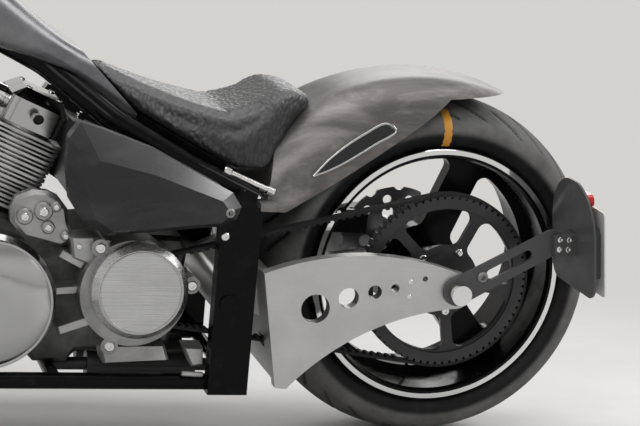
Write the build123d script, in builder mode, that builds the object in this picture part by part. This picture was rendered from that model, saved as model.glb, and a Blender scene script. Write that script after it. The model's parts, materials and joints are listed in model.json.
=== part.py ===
"""Low chopper motorcycle with a wide rear tyre, parked on its side stand.

Millimetres. The machine is drawn upright: X forward from the rear axle, Y to the rider's left, Z up from
the road. At the end every piece is leaned onto the side stand and the whole is set on its footprint.
"""

import math
import os
from collections import namedtuple

from build123d import *

# Stance
LEAN = 7.0
WHEELBASE = 1850.0
RAKE = 38.0
FORK_OFFSET = 70.0
RUNNING_GAP = 0.3

# Wheels. One row each: tyre radius and half width, shoulder half width and drop, bead radius and half
# width, rubber wall, rim lip radius and half width, lip thickness, rim barrel wall, hub radius and half
# length, web half thickness, window inner and outer radius, spoke width, axle radius.
Wheel = namedtuple(
    "Wheel",
    "tyre_radius tyre_half shoulder_half shoulder_drop bead_radius bead_half rubber "
    "lip_radius lip_half lip barrel hub_radius hub_half web_half window_in window_out spoke axle_radius",
)
REAR = Wheel(330, 126, 108, 27, 232, 109, 14, 243, 121, 9, 8, 46, 95, 17, 74, 208, 64, 12.5)
FRONT = Wheel(345, 62, 46, 17, 270, 44, 10, 281, 54, 7, 7, 38, 56, 12, 62, 250, 52, 12.5)
SPOKES = 3
SPOKE_TURN = 52.0

# Final drive and rear brake
BELT_Y = (137.0, 161.0)
BELT_THICKNESS = 5.0
PULLEY_RADIUS = 162.0
PULLEY_HUB_RADIUS = 52.0
PULLEY_RIM = 22.0
PULLEY_SPOKES = 5
PULLEY_SPOKE = 20.0
PULLEY_TURN = 79.5
PULLEY_TEETH = 70
TOOTH_DEPTH = 5.0
DRIVE_RADIUS = 52.0
DRIVE_CENTRE = (576.0, 298.0)
REAR_DISC_RADIUS = 112.0
FRONT_DISC_RADIUS = 148.0
DISC_THICKNESS = 5.0
REAR_DISC_Y = -150.0

# Swingarm
ARM_IN = 207.0
ARM_OUT = 231.0
PIVOT = (420.0, 290.0)
PIVOT_TUBE_RADIUS = 27.0
ARM_FRONT = ((367.0, 356.0), (329.0, 142.0))
CROSS_WALL = 18.0
CROSS_Z = (152.0, 352.0)
ARM_HOLES = [(266, 292, 27), (205, 313, 19), (156, 325, 13), (118, 333, 8)]
BOBBIN_AT = (62.0, 352.0)
BOBBIN_RADIUS = 5.0
AXLE_CAP_RADIUS = 19.0
AXLE_END = 266.0

# Frame
RAIL_RADIUS = 21.0
CRADLE_RADIUS = 15.0
CRADLE_Y = 165.0
CRADLE_Z = 133.0
CROSS_TUBE_RADIUS = 13.0
CROSS_TUBES = (390.0, 720.0, 1000.0)
POST_X = (372.0, 446.0)
POST_Y = (168.0, 200.0)
POST_TOP = 500.0
HEAD_TUBE = (720.0, 900.0)
HEAD_TUBE_RADIUS = 36.0
STEM_RADIUS = 17.0

# Engine
CRANK = (900.0, 275.0)
V_HALF_ANGLE = 22.5
BARREL_FOOT = 165.0
BARREL_LENGTH = 150.0
FIN_COUNT = 9
FIN_HALF = 70.0
FIN_THICKNESS = 5.0
HEAD_HEIGHT = 66.0
HEAD_HALF = (56.0, 74.0)
CASE_HALF = 95.0
DERBY = (850.0, 272.0)
DERBY_RADIUS = 116.0
COVER_RADIUS = 88.0
COVER_OFFSET = (6.0, 10.0)
FLANGE_RADIUS = 98.0
FLANGE_AHEAD = 12.0

# Rear bodywork
FENDER_HALF = 146.0
FENDER_WALL = 4.0
FENDER_FLAT = 56.0
FENDER_ARC_CENTRE = (30.0, 230.0)
FENDER_ARC_RADIUS = 470.0
SEAT_HALF = 132.0

# Front end
LEG_Y = 105.0
SLIDER_RADIUS = 27.0
STANCHION_RADIUS = 20.5
TREE_THICKNESS = 26.0
BAR_RADIUS = 11.0
GRIP_RADIUS = 16.5

# Side stand, on the left cradle rail
STAND_PIVOT = (930.0, 214.0, 118.0)
STAND_FOOT = (1000.0, 318.0)
STAND_LEG_RADIUS = 10.0
STAND_FOLD = 100.0

REAR_AXLE = Vector(0, 0, REAR.tyre_radius)


def crown_radius(wheel):
    """Radius of the arc across a tyre's tread."""
    return (wheel.shoulder_half**2 + wheel.shoulder_drop**2) / (2 * wheel.shoulder_drop)


# The road as seen from the upright machine once it leans: points with dot(point, ROAD_UP) = ROAD.
ROAD_UP = Vector(0, -math.sin(math.radians(LEAN)), math.cos(math.radians(LEAN)))
DIP = 1 - math.cos(math.radians(LEAN))
ROAD = -crown_radius(REAR) * DIP
FRONT_AXLE_Z = FRONT.tyre_radius + (ROAD + crown_radius(FRONT) * DIP) / (1 - DIP)
FRONT_AXLE = Vector(WHEELBASE, 0, FRONT_AXLE_Z)


def road_z(y):
    """Height of the road, for the upright machine, at a distance to the left."""
    return (ROAD - ROAD_UP.Y * y) / ROAD_UP.Z


# Planes
SIN_RAKE = math.sin(math.radians(RAKE))
COS_RAKE = math.cos(math.radians(RAKE))
FORK = Plane(origin=FRONT_AXLE, x_dir=(COS_RAKE, 0, SIN_RAKE), z_dir=(-SIN_RAKE, 0, COS_RAKE))


def side(y=0.0):
    """Side view plane at a distance to the left: local x is X, local y is Z, extrude goes to the right."""
    return Plane(origin=(0, y, 0), x_dir=(1, 0, 0), z_dir=(0, -1, 0))


def wheel_side(axle, y=0.0):
    """Side view plane centred on an axle."""
    return Plane(origin=axle + Vector(0, y, 0), x_dir=(1, 0, 0), z_dir=(0, -1, 0))


def steer_point(along, ahead=0.0, left=0.0):
    """Point on the steering axis, so far above the front axle along the fork, then ahead and left of it."""
    return FORK.from_local_coords((ahead - FORK_OFFSET, left, along))


def fork_plane(along, left=0.0):
    """Plane square to the fork at a height along it, centred on the steering axis."""
    return Plane(origin=steer_point(along, 0, left), x_dir=FORK.x_dir, z_dir=FORK.z_dir)


def add_tube(points, radius, bend, mode=Mode.ADD):
    """Adds a round tube along straight runs joined by arcs to the part being built, or cuts it."""
    with BuildLine() as path:
        FilletPolyline(*points, radius=bend)
    start = path.wire()
    with BuildSketch(Plane(origin=start @ 0, z_dir=start % 0)) as section:
        Circle(radius)
    sweep(section.sketch, path=start, mode=mode)


def add_rod(start, end, radius, mode=Mode.ADD):
    """Adds a straight round rod to the part being built, or cuts it."""
    run = Vector(*end) - Vector(*start)
    with BuildSketch(Plane(origin=start, z_dir=run)) as section:
        Circle(radius)
    extrude(section.sketch, amount=run.length, mode=mode)


def add_ring_cut(axle, radius, y_from, y_to):
    """Cuts a round hole across the machine."""
    with BuildSketch(wheel_side(axle, y_to)) as section:
        Circle(radius)
    extrude(section.sketch, amount=y_to - y_from, mode=Mode.SUBTRACT)


# Wheels and tyres


def make_tyre(wheel, axle):
    """Hollow tyre: tread arc, round sidewalls down to the beads."""
    shoulder_r = wheel.tyre_radius - wheel.shoulder_drop
    widest_r = (shoulder_r + wheel.bead_radius) / 2 + wheel.rubber / 2
    bead_r = wheel.bead_radius + RUNNING_GAP
    inner_half = wheel.shoulder_half - wheel.rubber
    inner_r = shoulder_r - wheel.rubber * 0.8
    with BuildPart() as tyre:
        with BuildSketch(Plane(origin=axle, x_dir=(0, 1, 0), z_dir=(1, 0, 0))):
            with BuildLine():
                ThreePointArc(
                    (-wheel.shoulder_half, shoulder_r),
                    (0, wheel.tyre_radius),
                    (wheel.shoulder_half, shoulder_r),
                )
                ThreePointArc(
                    (-inner_half, inner_r), (0, wheel.tyre_radius - wheel.rubber), (inner_half, inner_r)
                )
                for s in (-1, 1):
                    ThreePointArc(
                        (s * wheel.shoulder_half, shoulder_r),
                        (s * wheel.tyre_half, widest_r),
                        (s * wheel.bead_half, wheel.lip_radius + 3),
                    )
                    Line((s * wheel.bead_half, wheel.lip_radius + 3), (s * wheel.bead_half, bead_r))
                    Line((s * wheel.bead_half, bead_r), (s * (wheel.bead_half - wheel.rubber), bead_r))
                    inner_bead = s * (wheel.bead_half - wheel.rubber)
                    Line((inner_bead, bead_r), (inner_bead, wheel.lip_radius + 3))
                    ThreePointArc(
                        (inner_bead, wheel.lip_radius + 3),
                        (s * (wheel.tyre_half - wheel.rubber), widest_r),
                        (s * inner_half, inner_r),
                    )
            make_face()
        revolve(axis=Axis(axle, (0, 1, 0)))
    return tyre.part


def make_window(count, spoke, radius_in, radius_out):
    """Rounded window between two of a wheel's straight spokes."""
    with BuildSketch(mode=Mode.PRIVATE) as window:
        sector = math.pi / count
        corners = []
        for radius in (radius_out, radius_in):
            for s in (-1, 1):
                angle = s * (sector - math.asin(spoke / 2 / radius))
                corners.append((radius * math.cos(angle), radius * math.sin(angle)))
        with BuildLine():
            ThreePointArc(corners[0], (radius_out, 0), corners[1])
            Line(corners[1], corners[3])
            ThreePointArc(corners[3], (radius_in, 0), corners[2])
            Line(corners[2], corners[0])
        make_face()
        fillet(window.vertices(), radius=radius_in * 0.24)
    return window.sketch


def make_rim(wheel, axle, turn):
    """Billet rim: barrel with two lips, hub, and a web pierced by rounded windows that leaves the spokes."""
    seat_half = wheel.lip_half - wheel.lip
    barrel_in = wheel.bead_radius - wheel.barrel
    window = make_window(SPOKES, wheel.spoke, wheel.window_in, wheel.window_out)
    with BuildPart() as rim:
        with BuildSketch(Plane(origin=axle, x_dir=(0, 1, 0), z_dir=(1, 0, 0))):
            with BuildLine():
                Polyline(
                    (-wheel.lip_half, wheel.lip_radius),
                    (-seat_half, wheel.lip_radius),
                    (-seat_half, wheel.bead_radius),
                    (seat_half, wheel.bead_radius),
                    (seat_half, wheel.lip_radius),
                    (wheel.lip_half, wheel.lip_radius),
                    (wheel.lip_half, barrel_in + wheel.barrel / 2),
                    (seat_half, barrel_in),
                    (wheel.web_half, barrel_in),
                    (wheel.web_half, wheel.hub_radius),
                    (wheel.hub_half, wheel.hub_radius),
                    (wheel.hub_half, wheel.axle_radius + RUNNING_GAP),
                    (-wheel.hub_half, wheel.axle_radius + RUNNING_GAP),
                    (-wheel.hub_half, wheel.hub_radius),
                    (-wheel.web_half, wheel.hub_radius),
                    (-wheel.web_half, barrel_in),
                    (-seat_half, barrel_in),
                    (-wheel.lip_half, barrel_in + wheel.barrel / 2),
                    close=True,
                )
            make_face()
        revolve(axis=Axis(axle, (0, 1, 0)))
        with BuildSketch(wheel_side(axle)):
            with PolarLocations(0, SPOKES, start_angle=turn):
                add(window)
        extrude(amount=wheel.web_half * 2, both=True, mode=Mode.SUBTRACT)
    return rim.part


def make_disc(axle, y, radius, carrier_from, hub_radius, axle_radius):
    """Brake disc with a scalloped edge and a ring of vents, on a carrier that reaches back to the hub."""
    scallops, vents = 12, 12
    with BuildPart() as disc:
        with BuildSketch(wheel_side(axle, y)):
            Circle(radius)
            with PolarLocations(radius + 5, scallops):
                Circle(12, mode=Mode.SUBTRACT)
            with PolarLocations(radius - 24, vents, start_angle=15):
                Circle(9, mode=Mode.SUBTRACT)
            with PolarLocations((radius - 36 + hub_radius) / 2, 5):
                Circle((radius - 36 - hub_radius) / 2 - 3, mode=Mode.SUBTRACT)
        extrude(amount=DISC_THICKNESS / 2, both=True)
        with BuildSketch(wheel_side(axle, y)) as boss:
            Circle(hub_radius)
        extrude(boss.sketch, amount=y - carrier_from)
        add_ring_cut(axle, axle_radius, min(y, carrier_from) - 20, max(y, carrier_from) + 20)
    return disc.part


rear_tyre = make_tyre(REAR, REAR_AXLE)
rear_rim = make_rim(REAR, REAR_AXLE, SPOKE_TURN)
front_tyre = make_tyre(FRONT, FRONT_AXLE)
front_rim = make_rim(FRONT, FRONT_AXLE, SPOKE_TURN)
rear_disc = make_disc(
    REAR_AXLE,
    REAR_DISC_Y,
    REAR_DISC_RADIUS,
    -REAR.hub_half - RUNNING_GAP,
    REAR.hub_radius,
    REAR.axle_radius + RUNNING_GAP,
)
FRONT_DISC_Y = 68.0
front_disc = make_disc(
    FRONT_AXLE,
    FRONT_DISC_Y,
    FRONT_DISC_RADIUS,
    FRONT.hub_half + RUNNING_GAP,
    FRONT.hub_radius,
    FRONT.axle_radius + RUNNING_GAP,
)

# Rear pulley: toothed rim on a web with rounded windows
with BuildPart() as rear_pulley:
    with BuildSketch(wheel_side(REAR_AXLE, BELT_Y[1])):
        with BuildLine():
            tooth = 360 / PULLEY_TEETH
            Polyline(
                *[
                    (r * math.cos(math.radians(a)), r * math.sin(math.radians(a)))
                    for n in range(PULLEY_TEETH)
                    for r, a in (
                        (PULLEY_RADIUS, (n - 0.28) * tooth),
                        (PULLEY_RADIUS, (n + 0.28) * tooth),
                        (PULLEY_RADIUS - TOOTH_DEPTH, (n + 0.38) * tooth),
                        (PULLEY_RADIUS - TOOTH_DEPTH, (n + 0.62) * tooth),
                    )
                ],
                close=True,
            )
        make_face()
        Circle(PULLEY_RADIUS - PULLEY_RIM, mode=Mode.SUBTRACT)
    extrude(amount=BELT_Y[1] - BELT_Y[0])
    with BuildSketch(wheel_side(REAR_AXLE, BELT_Y[1] - 5)):
        Circle(PULLEY_RADIUS - PULLEY_RIM + 4)
        with PolarLocations(0, PULLEY_SPOKES, start_angle=PULLEY_TURN):
            window = make_window(
                PULLEY_SPOKES, PULLEY_SPOKE, PULLEY_HUB_RADIUS + 16, PULLEY_RADIUS - PULLEY_RIM - 3
            )
            add(window, mode=Mode.SUBTRACT)
    extrude(amount=10)
    with BuildSketch(wheel_side(REAR_AXLE, BELT_Y[1])):
        Circle(PULLEY_HUB_RADIUS)
    extrude(amount=BELT_Y[1] - REAR.hub_half - RUNNING_GAP)
    add_ring_cut(REAR_AXLE, REAR.axle_radius + RUNNING_GAP, 0, BELT_Y[1] + 10)

def belt_loop(clear=0.0):
    """Side view of the belt's loop round both pulleys, widened by a clearance."""
    with BuildSketch(mode=Mode.PRIVATE) as loop:
        for grow, mode in ((BELT_THICKNESS + clear, Mode.ADD), (-clear, Mode.SUBTRACT)):
            with BuildSketch(mode=Mode.PRIVATE) as wheels:
                with Locations((0, REAR_AXLE.Z)):
                    Circle(PULLEY_RADIUS + RUNNING_GAP + grow)
                with Locations(DRIVE_CENTRE):
                    Circle(DRIVE_RADIUS + grow)
            make_hull(wheels.edges(), mode=mode)
    return loop.sketch


# Drive belt: a flat loop round the rear pulley and the hidden gearbox pulley
with BuildPart() as drive_belt:
    with BuildSketch(side(BELT_Y[1] - 1)):
        add(belt_loop())
    extrude(amount=BELT_Y[1] - BELT_Y[0] - 2)



def cross_face(z, back=0.0):
    """Point on the swingarm's cross plate in side view, at a height, so far behind its front face."""
    (high_x, high_z), (low_x, low_z) = ARM_FRONT
    return (low_x + (high_x - low_x) * (z - low_z) / (high_z - low_z) - 2 - back, z)


# Swingarm: two side plates bolted to a cross plate ahead of the tyre, which carries the pivot tube
with BuildPart() as swingarm:
    with BuildSketch(side(ARM_OUT)):
        with BuildLine():
            axle_end = 34
            Line(*ARM_FRONT)
            Line(ARM_FRONT[1], (308, 140))
            ThreePointArc((308, 140), (170, 246), (0, REAR_AXLE.Z - axle_end))
            ThreePointArc((0, REAR_AXLE.Z - axle_end), (-axle_end, REAR_AXLE.Z), (0, REAR_AXLE.Z + axle_end))
            ThreePointArc((0, REAR_AXLE.Z + axle_end), (167, 393), ARM_FRONT[0])
        make_face()
        for x, z, r in ARM_HOLES:
            with Locations((x, z)):
                Circle(r, mode=Mode.SUBTRACT)
        with Locations((0, REAR_AXLE.Z)):
            Circle(REAR.axle_radius + RUNNING_GAP, mode=Mode.SUBTRACT)
        with Locations(BOBBIN_AT):
            Circle(BOBBIN_RADIUS, mode=Mode.SUBTRACT)
    extrude(amount=ARM_OUT - ARM_IN)
    mirror(about=Plane.XZ)
    with BuildSketch(side(ARM_IN - RUNNING_GAP)):
        with BuildLine():
            Polyline(
                cross_face(CROSS_Z[0]), cross_face(CROSS_Z[1]), cross_face(CROSS_Z[1], CROSS_WALL),
                cross_face(CROSS_Z[0], CROSS_WALL), close=True,
            )
        make_face()
    extrude(amount=2 * (ARM_IN - RUNNING_GAP))
    with BuildSketch(side(BELT_Y[1] + 7)):
        add(belt_loop(8))
    extrude(amount=BELT_Y[1] - BELT_Y[0] + 14, mode=Mode.SUBTRACT)
    pivot_half = POST_Y[0] - RUNNING_GAP
    with BuildSketch(side(pivot_half)):
        with Locations(PIVOT):
            Circle(PIVOT_TUBE_RADIUS)
    extrude(amount=2 * pivot_half)
    for web_y in (pivot_half - 20, -pivot_half + 45):
        with BuildSketch(side(web_y)):
            with BuildLine():
                Polyline(
                    cross_face(PIVOT[1] - 36, CROSS_WALL / 2),
                    (PIVOT[0], PIVOT[1] - PIVOT_TUBE_RADIUS + 4),
                    (PIVOT[0], PIVOT[1] + PIVOT_TUBE_RADIUS - 4),
                    cross_face(CROSS_Z[1] - 8, CROSS_WALL / 2),
                    close=True,
                )
            make_face()
        extrude(amount=25)

# Rear axle with its spacers and polished end caps
with BuildPart() as rear_axle:
    add_rod((0, -AXLE_END + 8, REAR_AXLE.Z), (0, AXLE_END - 8, REAR_AXLE.Z), REAR.axle_radius)
    for s in (-1, 1):
        spacer_from = BELT_Y[1] + 6 if s > 0 else -REAR_DISC_Y + 8
        add_rod((0, s * spacer_from, REAR_AXLE.Z), (0, s * ARM_IN, REAR_AXLE.Z), 20)
        add_rod((0, s * (ARM_OUT + 9), REAR_AXLE.Z), (0, s * AXLE_END, REAR_AXLE.Z), AXLE_CAP_RADIUS)

# Frame: twin spine rails from the neck to the tail, cradle tubes round the engine, two posts at the pivot
head_low, head_high = HEAD_TUBE
neck = steer_point((head_low + head_high) / 2)
cradle_top = steer_point(head_low + 45)


def rail_path(s):
    """Corner points of one spine rail, left or right."""
    return [
        (POST_X[0] + 6, s * 150, 474),
        (500, s * 150, 530),
        (640, s * 122, 604),
        (760, s * 66, 690),
        (neck.X, s * 14, neck.Z + 12),
    ]


def cradle_point(s, share):
    """Point on a front down tube, from the lower rail's corner at 0 up to the neck at 1."""
    low = Vector(1120, s * CRADLE_Y, CRADLE_Z)
    high = Vector(cradle_top.X, s * 16, cradle_top.Z)
    return low + (high - low) * share


with BuildPart() as frame:
    for s in (-1, 1):
        add_tube(rail_path(s), RAIL_RADIUS, 90)
        add_tube(
            [(POST_X[0] + 4, s * CRADLE_Y, CRADLE_Z), cradle_point(s, 0), cradle_point(s, 1)],
            CRADLE_RADIUS,
            130,
        )
        with BuildSketch(side(POST_Y[1] if s > 0 else -POST_Y[0])):
            with BuildLine():
                Polyline(
                    (POST_X[0], CRADLE_Z - CRADLE_RADIUS),
                    (POST_X[1], CRADLE_Z - CRADLE_RADIUS),
                    (POST_X[1], POST_TOP - 25),
                    (POST_X[1] - 40, POST_TOP),
                    (POST_X[0], POST_TOP - 40),
                    close=True,
                )
            make_face()
        extrude(amount=POST_Y[1] - POST_Y[0])
    with BuildSketch(fork_plane(head_low)) as head_tube:
        Circle(HEAD_TUBE_RADIUS)
    extrude(head_tube.sketch, amount=head_high - head_low)
    add_rod(steer_point(head_low - 5), steer_point(head_high + 5), STEM_RADIUS + RUNNING_GAP, Mode.SUBTRACT)
    for x in CROSS_TUBES:
        add_rod((x, -CRADLE_Y, CRADLE_Z), (x, CRADLE_Y, CRADLE_Z), CROSS_TUBE_RADIUS)
    add_rod((POST_X[0] + 36, -POST_Y[0] - 6, 452), (POST_X[0] + 36, POST_Y[0] + 6, 452), CROSS_TUBE_RADIUS)

# Twin shock absorbers lying under the gearbox between two cross tubes
with BuildPart() as shock_absorbers:
    shock_from = CROSS_TUBES[0] + CROSS_TUBE_RADIUS + RUNNING_GAP
    shock_to = CROSS_TUBES[1] - CROSS_TUBE_RADIUS - RUNNING_GAP
    for s in (-1, 1):
        add_rod((shock_from, s * 58, CRADLE_Z), (shock_to, s * 58, CRADLE_Z), 12)
        add_rod((shock_from + 40, s * 58, CRADLE_Z), (shock_to - 60, s * 58, CRADLE_Z), 25)

# Swingarm pivot bolt heads, outside both posts
with BuildPart() as pivot_bolt:
    for s in (-1, 1):
        add_rod((PIVOT[0], s * POST_Y[1], PIVOT[1]), (PIVOT[0], s * (POST_Y[1] + 4), PIVOT[1]), 17)

# Engine: crankcase and gearbox in one casting, its feet on the cross tubes
FOOT_Z = CRADLE_Z + CROSS_TUBE_RADIUS + RUNNING_GAP


def deck_point(tilt, across):
    """Point of the crankcase's deck under a cylinder, in side view, so far forward of the cylinder's axis."""
    t = math.radians(tilt)
    along = BARREL_FOOT - RUNNING_GAP
    return (
        CRANK[0] + along * math.sin(t) + across * math.cos(t),
        CRANK[1] + along * math.cos(t) - across * math.sin(t),
    )


with BuildPart() as crankcase:
    with BuildSketch(side(CASE_HALF)):
        with BuildLine():
            apex = CRANK[1] + (BARREL_FOOT - RUNNING_GAP) / math.cos(math.radians(V_HALF_ANGLE))
            Polyline(
                (500, 182),
                (CROSS_TUBES[1] - 48, 168),
                (CROSS_TUBES[1] - 30, FOOT_Z),
                (CROSS_TUBES[1] + 30, FOOT_Z),
                (CROSS_TUBES[1] + 45, 162),
                (CROSS_TUBES[2] - 45, 162),
                (CROSS_TUBES[2] - 30, FOOT_Z),
                (CROSS_TUBES[2] + 30, FOOT_Z),
                (1055, 230),
                (1048, 330),
                deck_point(V_HALF_ANGLE, 66),
                (CRANK[0], apex),
                deck_point(-V_HALF_ANGLE, -66),
                (730, 384),
                (660, 392),
                (490, 386),
                (478, 360),
                close=True,
            )
        make_face()
    extrude(amount=2 * CASE_HALF)
    for face in (crankcase.faces().sort_by(Axis.Y)[-1], crankcase.faces().sort_by(Axis.Y)[0]):
        chamfer(face.edges(), length=8)

# Primary case on the left with the polished clutch dome
PRIMARY_OUT = 158.0
with BuildPart() as primary_case:
    with BuildSketch(side(PRIMARY_OUT)):
        with BuildSketch(mode=Mode.PRIVATE) as rounds:
            with Locations(DERBY):
                Circle(DERBY_RADIUS + 10)
            with Locations((CRANK[0] + 80, CRANK[1])):
                Circle(96)
        make_hull(rounds.edges())
    extrude(amount=PRIMARY_OUT - CASE_HALF - RUNNING_GAP)
    chamfer(primary_case.faces().sort_by(Axis.Y)[-1].edges(), length=12)

with BuildPart() as clutch_dome:
    with BuildSketch(Plane(origin=(DERBY[0], 0, DERBY[1]), x_dir=(0, 1, 0), z_dir=(1, 0, 0))):
        with BuildLine():
            base = PRIMARY_OUT + RUNNING_GAP
            crown = base + 32
            Polyline((crown, 30), (crown, 0), (base, 0), (base, DERBY_RADIUS), (base + 8, DERBY_RADIUS))
            ThreePointArc((base + 8, DERBY_RADIUS), (base + 24, DERBY_RADIUS * 0.74), (crown, 30))
        make_face()
    revolve(axis=Axis((DERBY[0], 0, DERBY[1]), (0, 1, 0)))

# Gearbox outer flange with three lugs, notched behind for the belt, and the brushed round cover on it
with BuildPart() as gearbox_flange:
    with BuildSketch(side(168)):
        with Locations((DRIVE_CENTRE[0] + FLANGE_AHEAD, DRIVE_CENTRE[1])):
            Circle(FLANGE_RADIUS)
            with PolarLocations(FLANGE_RADIUS + 8, 3, start_angle=51):
                Circle(16)
                Circle(6, mode=Mode.SUBTRACT)
    extrude(amount=168 - CASE_HALF - RUNNING_GAP)
    with BuildSketch(side(BELT_Y[1] + 4)):
        with BuildSketch(mode=Mode.PRIVATE) as run:
            with Locations(DRIVE_CENTRE):
                Circle(DRIVE_RADIUS + BELT_THICKNESS + 8)
            with Locations((0, REAR_AXLE.Z)):
                Circle(PULLEY_RADIUS + BELT_THICKNESS + 8)
        make_hull(run.edges())
    extrude(amount=BELT_Y[1] - BELT_Y[0] + 8, mode=Mode.SUBTRACT)

with BuildPart() as gearbox_cover:
    with BuildSketch(side(202)):
        with Locations((DRIVE_CENTRE[0] + COVER_OFFSET[0], DRIVE_CENTRE[1] + COVER_OFFSET[1])):
            Circle(COVER_RADIUS)
    extrude(amount=202 - 168 - RUNNING_GAP)
    chamfer(gearbox_cover.faces().sort_by(Axis.Y)[-1].edges(), length=11)


def barrel_plane(tilt, along):
    """Plane square to a cylinder's axis, so far from the crank: local x points forward."""
    t = math.radians(tilt)
    direction = Vector(math.sin(t), 0, math.cos(t))
    origin = Vector(CRANK[0], 0, CRANK[1]) + direction * along
    return Plane(origin=origin, x_dir=(math.cos(t), 0, -math.sin(t)), z_dir=direction)


def make_barrel(tilt):
    """Finned cylinder with its head."""
    pitch = BARREL_LENGTH / FIN_COUNT
    with BuildPart() as barrel:
        with BuildSketch(barrel_plane(tilt, BARREL_FOOT)):
            Circle(52)
        extrude(amount=BARREL_LENGTH + 4)
        for n in range(FIN_COUNT):
            with BuildSketch(barrel_plane(tilt, BARREL_FOOT + 8 + n * pitch)):
                RectangleRounded(2 * FIN_HALF, 2 * FIN_HALF, 22)
            extrude(amount=FIN_THICKNESS)
    return barrel.part


def make_head(tilt):
    """Cylinder head with a rounded, polished rocker cover."""
    start = BARREL_FOOT + BARREL_LENGTH + 4 + RUNNING_GAP
    with BuildPart() as head:
        with BuildSketch(barrel_plane(tilt, start)):
            RectangleRounded(2 * HEAD_HALF[0], 2 * HEAD_HALF[1], 20)
        extrude(amount=HEAD_HEIGHT)
        top = head.faces().sort_by(Axis.Z)[-1]
        chamfer(top.edges(), length=20)
    return head.part


barrels = {name: make_barrel(tilt) for name, tilt in (("rear", -V_HALF_ANGLE), ("front", V_HALF_ANGLE))}
heads = {name: make_head(tilt) for name, tilt in (("rear", -V_HALF_ANGLE), ("front", V_HALF_ANGLE))}

# Intake: a tee between the heads, and the air cleaner on its right end
PORT_ALONG = BARREL_FOOT + BARREL_LENGTH + 32
INTAKE_Z = CRANK[1] + PORT_ALONG / math.cos(math.radians(V_HALF_ANGLE))
with BuildPart() as air_cleaner:
    add_rod((CRANK[0], 26, INTAKE_Z), (CRANK[0], -125, INTAKE_Z), 25)
    add_rod((CRANK[0], -120, INTAKE_Z - 20), (CRANK[0], -180, INTAKE_Z - 20), 84)
    fillet(air_cleaner.faces().sort_by(Axis.Y)[0].edges(), radius=14)
    for s in (-1, 1):
        port = barrel_plane(s * V_HALF_ANGLE, PORT_ALONG)
        inner_face = port.origin - port.x_dir * (s * (HEAD_HALF[0] + RUNNING_GAP))
        add_rod(inner_face, (CRANK[0], 0, INTAKE_Z), 20)

# Exhaust: two pipes down the right side, ending ahead of the swingarm
PORT_Y = -HEAD_HALF[1] - RUNNING_GAP


def exhaust_port(tilt, across):
    """Side view point of an exhaust port, so far forward of its cylinder's axis."""
    plane = barrel_plane(tilt, BARREL_FOOT + BARREL_LENGTH + 20)
    point = plane.origin + plane.x_dir * across
    return point.X, point.Z


with BuildPart() as exhaust:
    front_x, front_z = exhaust_port(V_HALF_ANGLE, 38)
    rear_x, rear_z = exhaust_port(-V_HALF_ANGLE, -12)
    add_tube(
        [(front_x, PORT_Y, front_z), (front_x, -160, front_z), (1120, -205, 420), (1010, -215, 250), (520, -215, 215)],
        24,
        60,
    )
    add_tube(
        [(rear_x, PORT_Y, rear_z), (rear_x, -146, rear_z), (784, -200, 470), (722, -215, 310), (520, -215, 285)],
        24,
        50,
    )

# Oil tank: a core under the seat rails, and side covers with a wide bevel whose tails lie on the posts.
# One row for each corner of a cover: X and Z of its edge, then of the flat panel inside the bevel.
COVER_IN = 173.0
COVER_EDGE = 203.0
COVER_OUT = 222.0
COVER = [
    (711, 613, 676, 549), (666, 600, 655, 545), (575, 568, 575, 527), (430, 496, 452, 484),
    (412, 470, 438, 467), (420, 446, 439, 455), (446, 434, 452, 444), (653, 412, 645, 424),
    (699, 440, 676, 444), (722, 474, 690, 474), (732, 540, 697, 498), (730, 585, 686, 532),
]
with BuildPart() as oil_tank:
    with BuildSketch(side(COVER_IN)):
        with BuildLine():
            Polyline((686, 572), (560, 512), (470, 468), (470, 424), (640, 408), (690, 440), close=True)
        make_face()
    extrude(amount=2 * COVER_IN)
    for s in (-1, 1):
        with BuildSketch(side(COVER_EDGE if s > 0 else -COVER_IN)):
            with BuildLine():
                Polyline(*[(x, z) for x, z, _, _ in COVER], close=True)
            make_face()
        extrude(amount=COVER_EDGE - COVER_IN)
        for y, first in ((COVER_EDGE, 0), (COVER_OUT, 2)):
            with BuildSketch(side(s * y)):
                with BuildLine():
                    Polyline(*[corner[first : first + 2] for corner in COVER], close=True)
                make_face()
        loft(ruled=True)
    for s in (-1, 1):
        with BuildSketch(side(POST_Y[1] + RUNNING_GAP if s > 0 else -COVER_IN + 1)):
            with Locations(((POST_X[0] + POST_X[1]) / 2 - 10, 440)):
                Rectangle(POST_X[1] - POST_X[0] + 30, 220)
        extrude(amount=POST_Y[1] + RUNNING_GAP - COVER_IN + 1, mode=Mode.SUBTRACT)

# Rear fender: a domed shell over the tyre, deep in front and open below. Its skirt is given by angles round
# the fender's centre, counted forward from straight up, and depths below the crown.
FENDER_ANGLES = (-18.5, 40.0)
FENDER_CHIN = (53.1, 70.0)
FENDER_SKIRT = [(53.9, 91.0), (52.0, 112.0), (22.0, 123.0), (-2.6, 32.0)]
TAB_Z = 466.0


def fender_arc(depth, degrees):
    """Point below the fender's crown in side view, the angle counted forward from straight up."""
    angle = math.radians(degrees)
    return (
        FENDER_ARC_CENTRE[0] + (FENDER_ARC_RADIUS - depth) * math.sin(angle),
        FENDER_ARC_CENTRE[1] + (FENDER_ARC_RADIUS - depth) * math.cos(angle),
    )


def fender_front(grow, reach):
    """The fender's slanted front edge moved forward by grow, its ends carried on by reach."""
    brow = Vector(*fender_arc(0, FENDER_ANGLES[1]))
    chin = Vector(*fender_arc(FENDER_CHIN[1], FENDER_CHIN[0]))
    run = (chin - brow).normalized()
    shift = Vector(-run.Y, run.X) * grow
    return brow + shift - run * reach, chin + shift + run * reach


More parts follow.
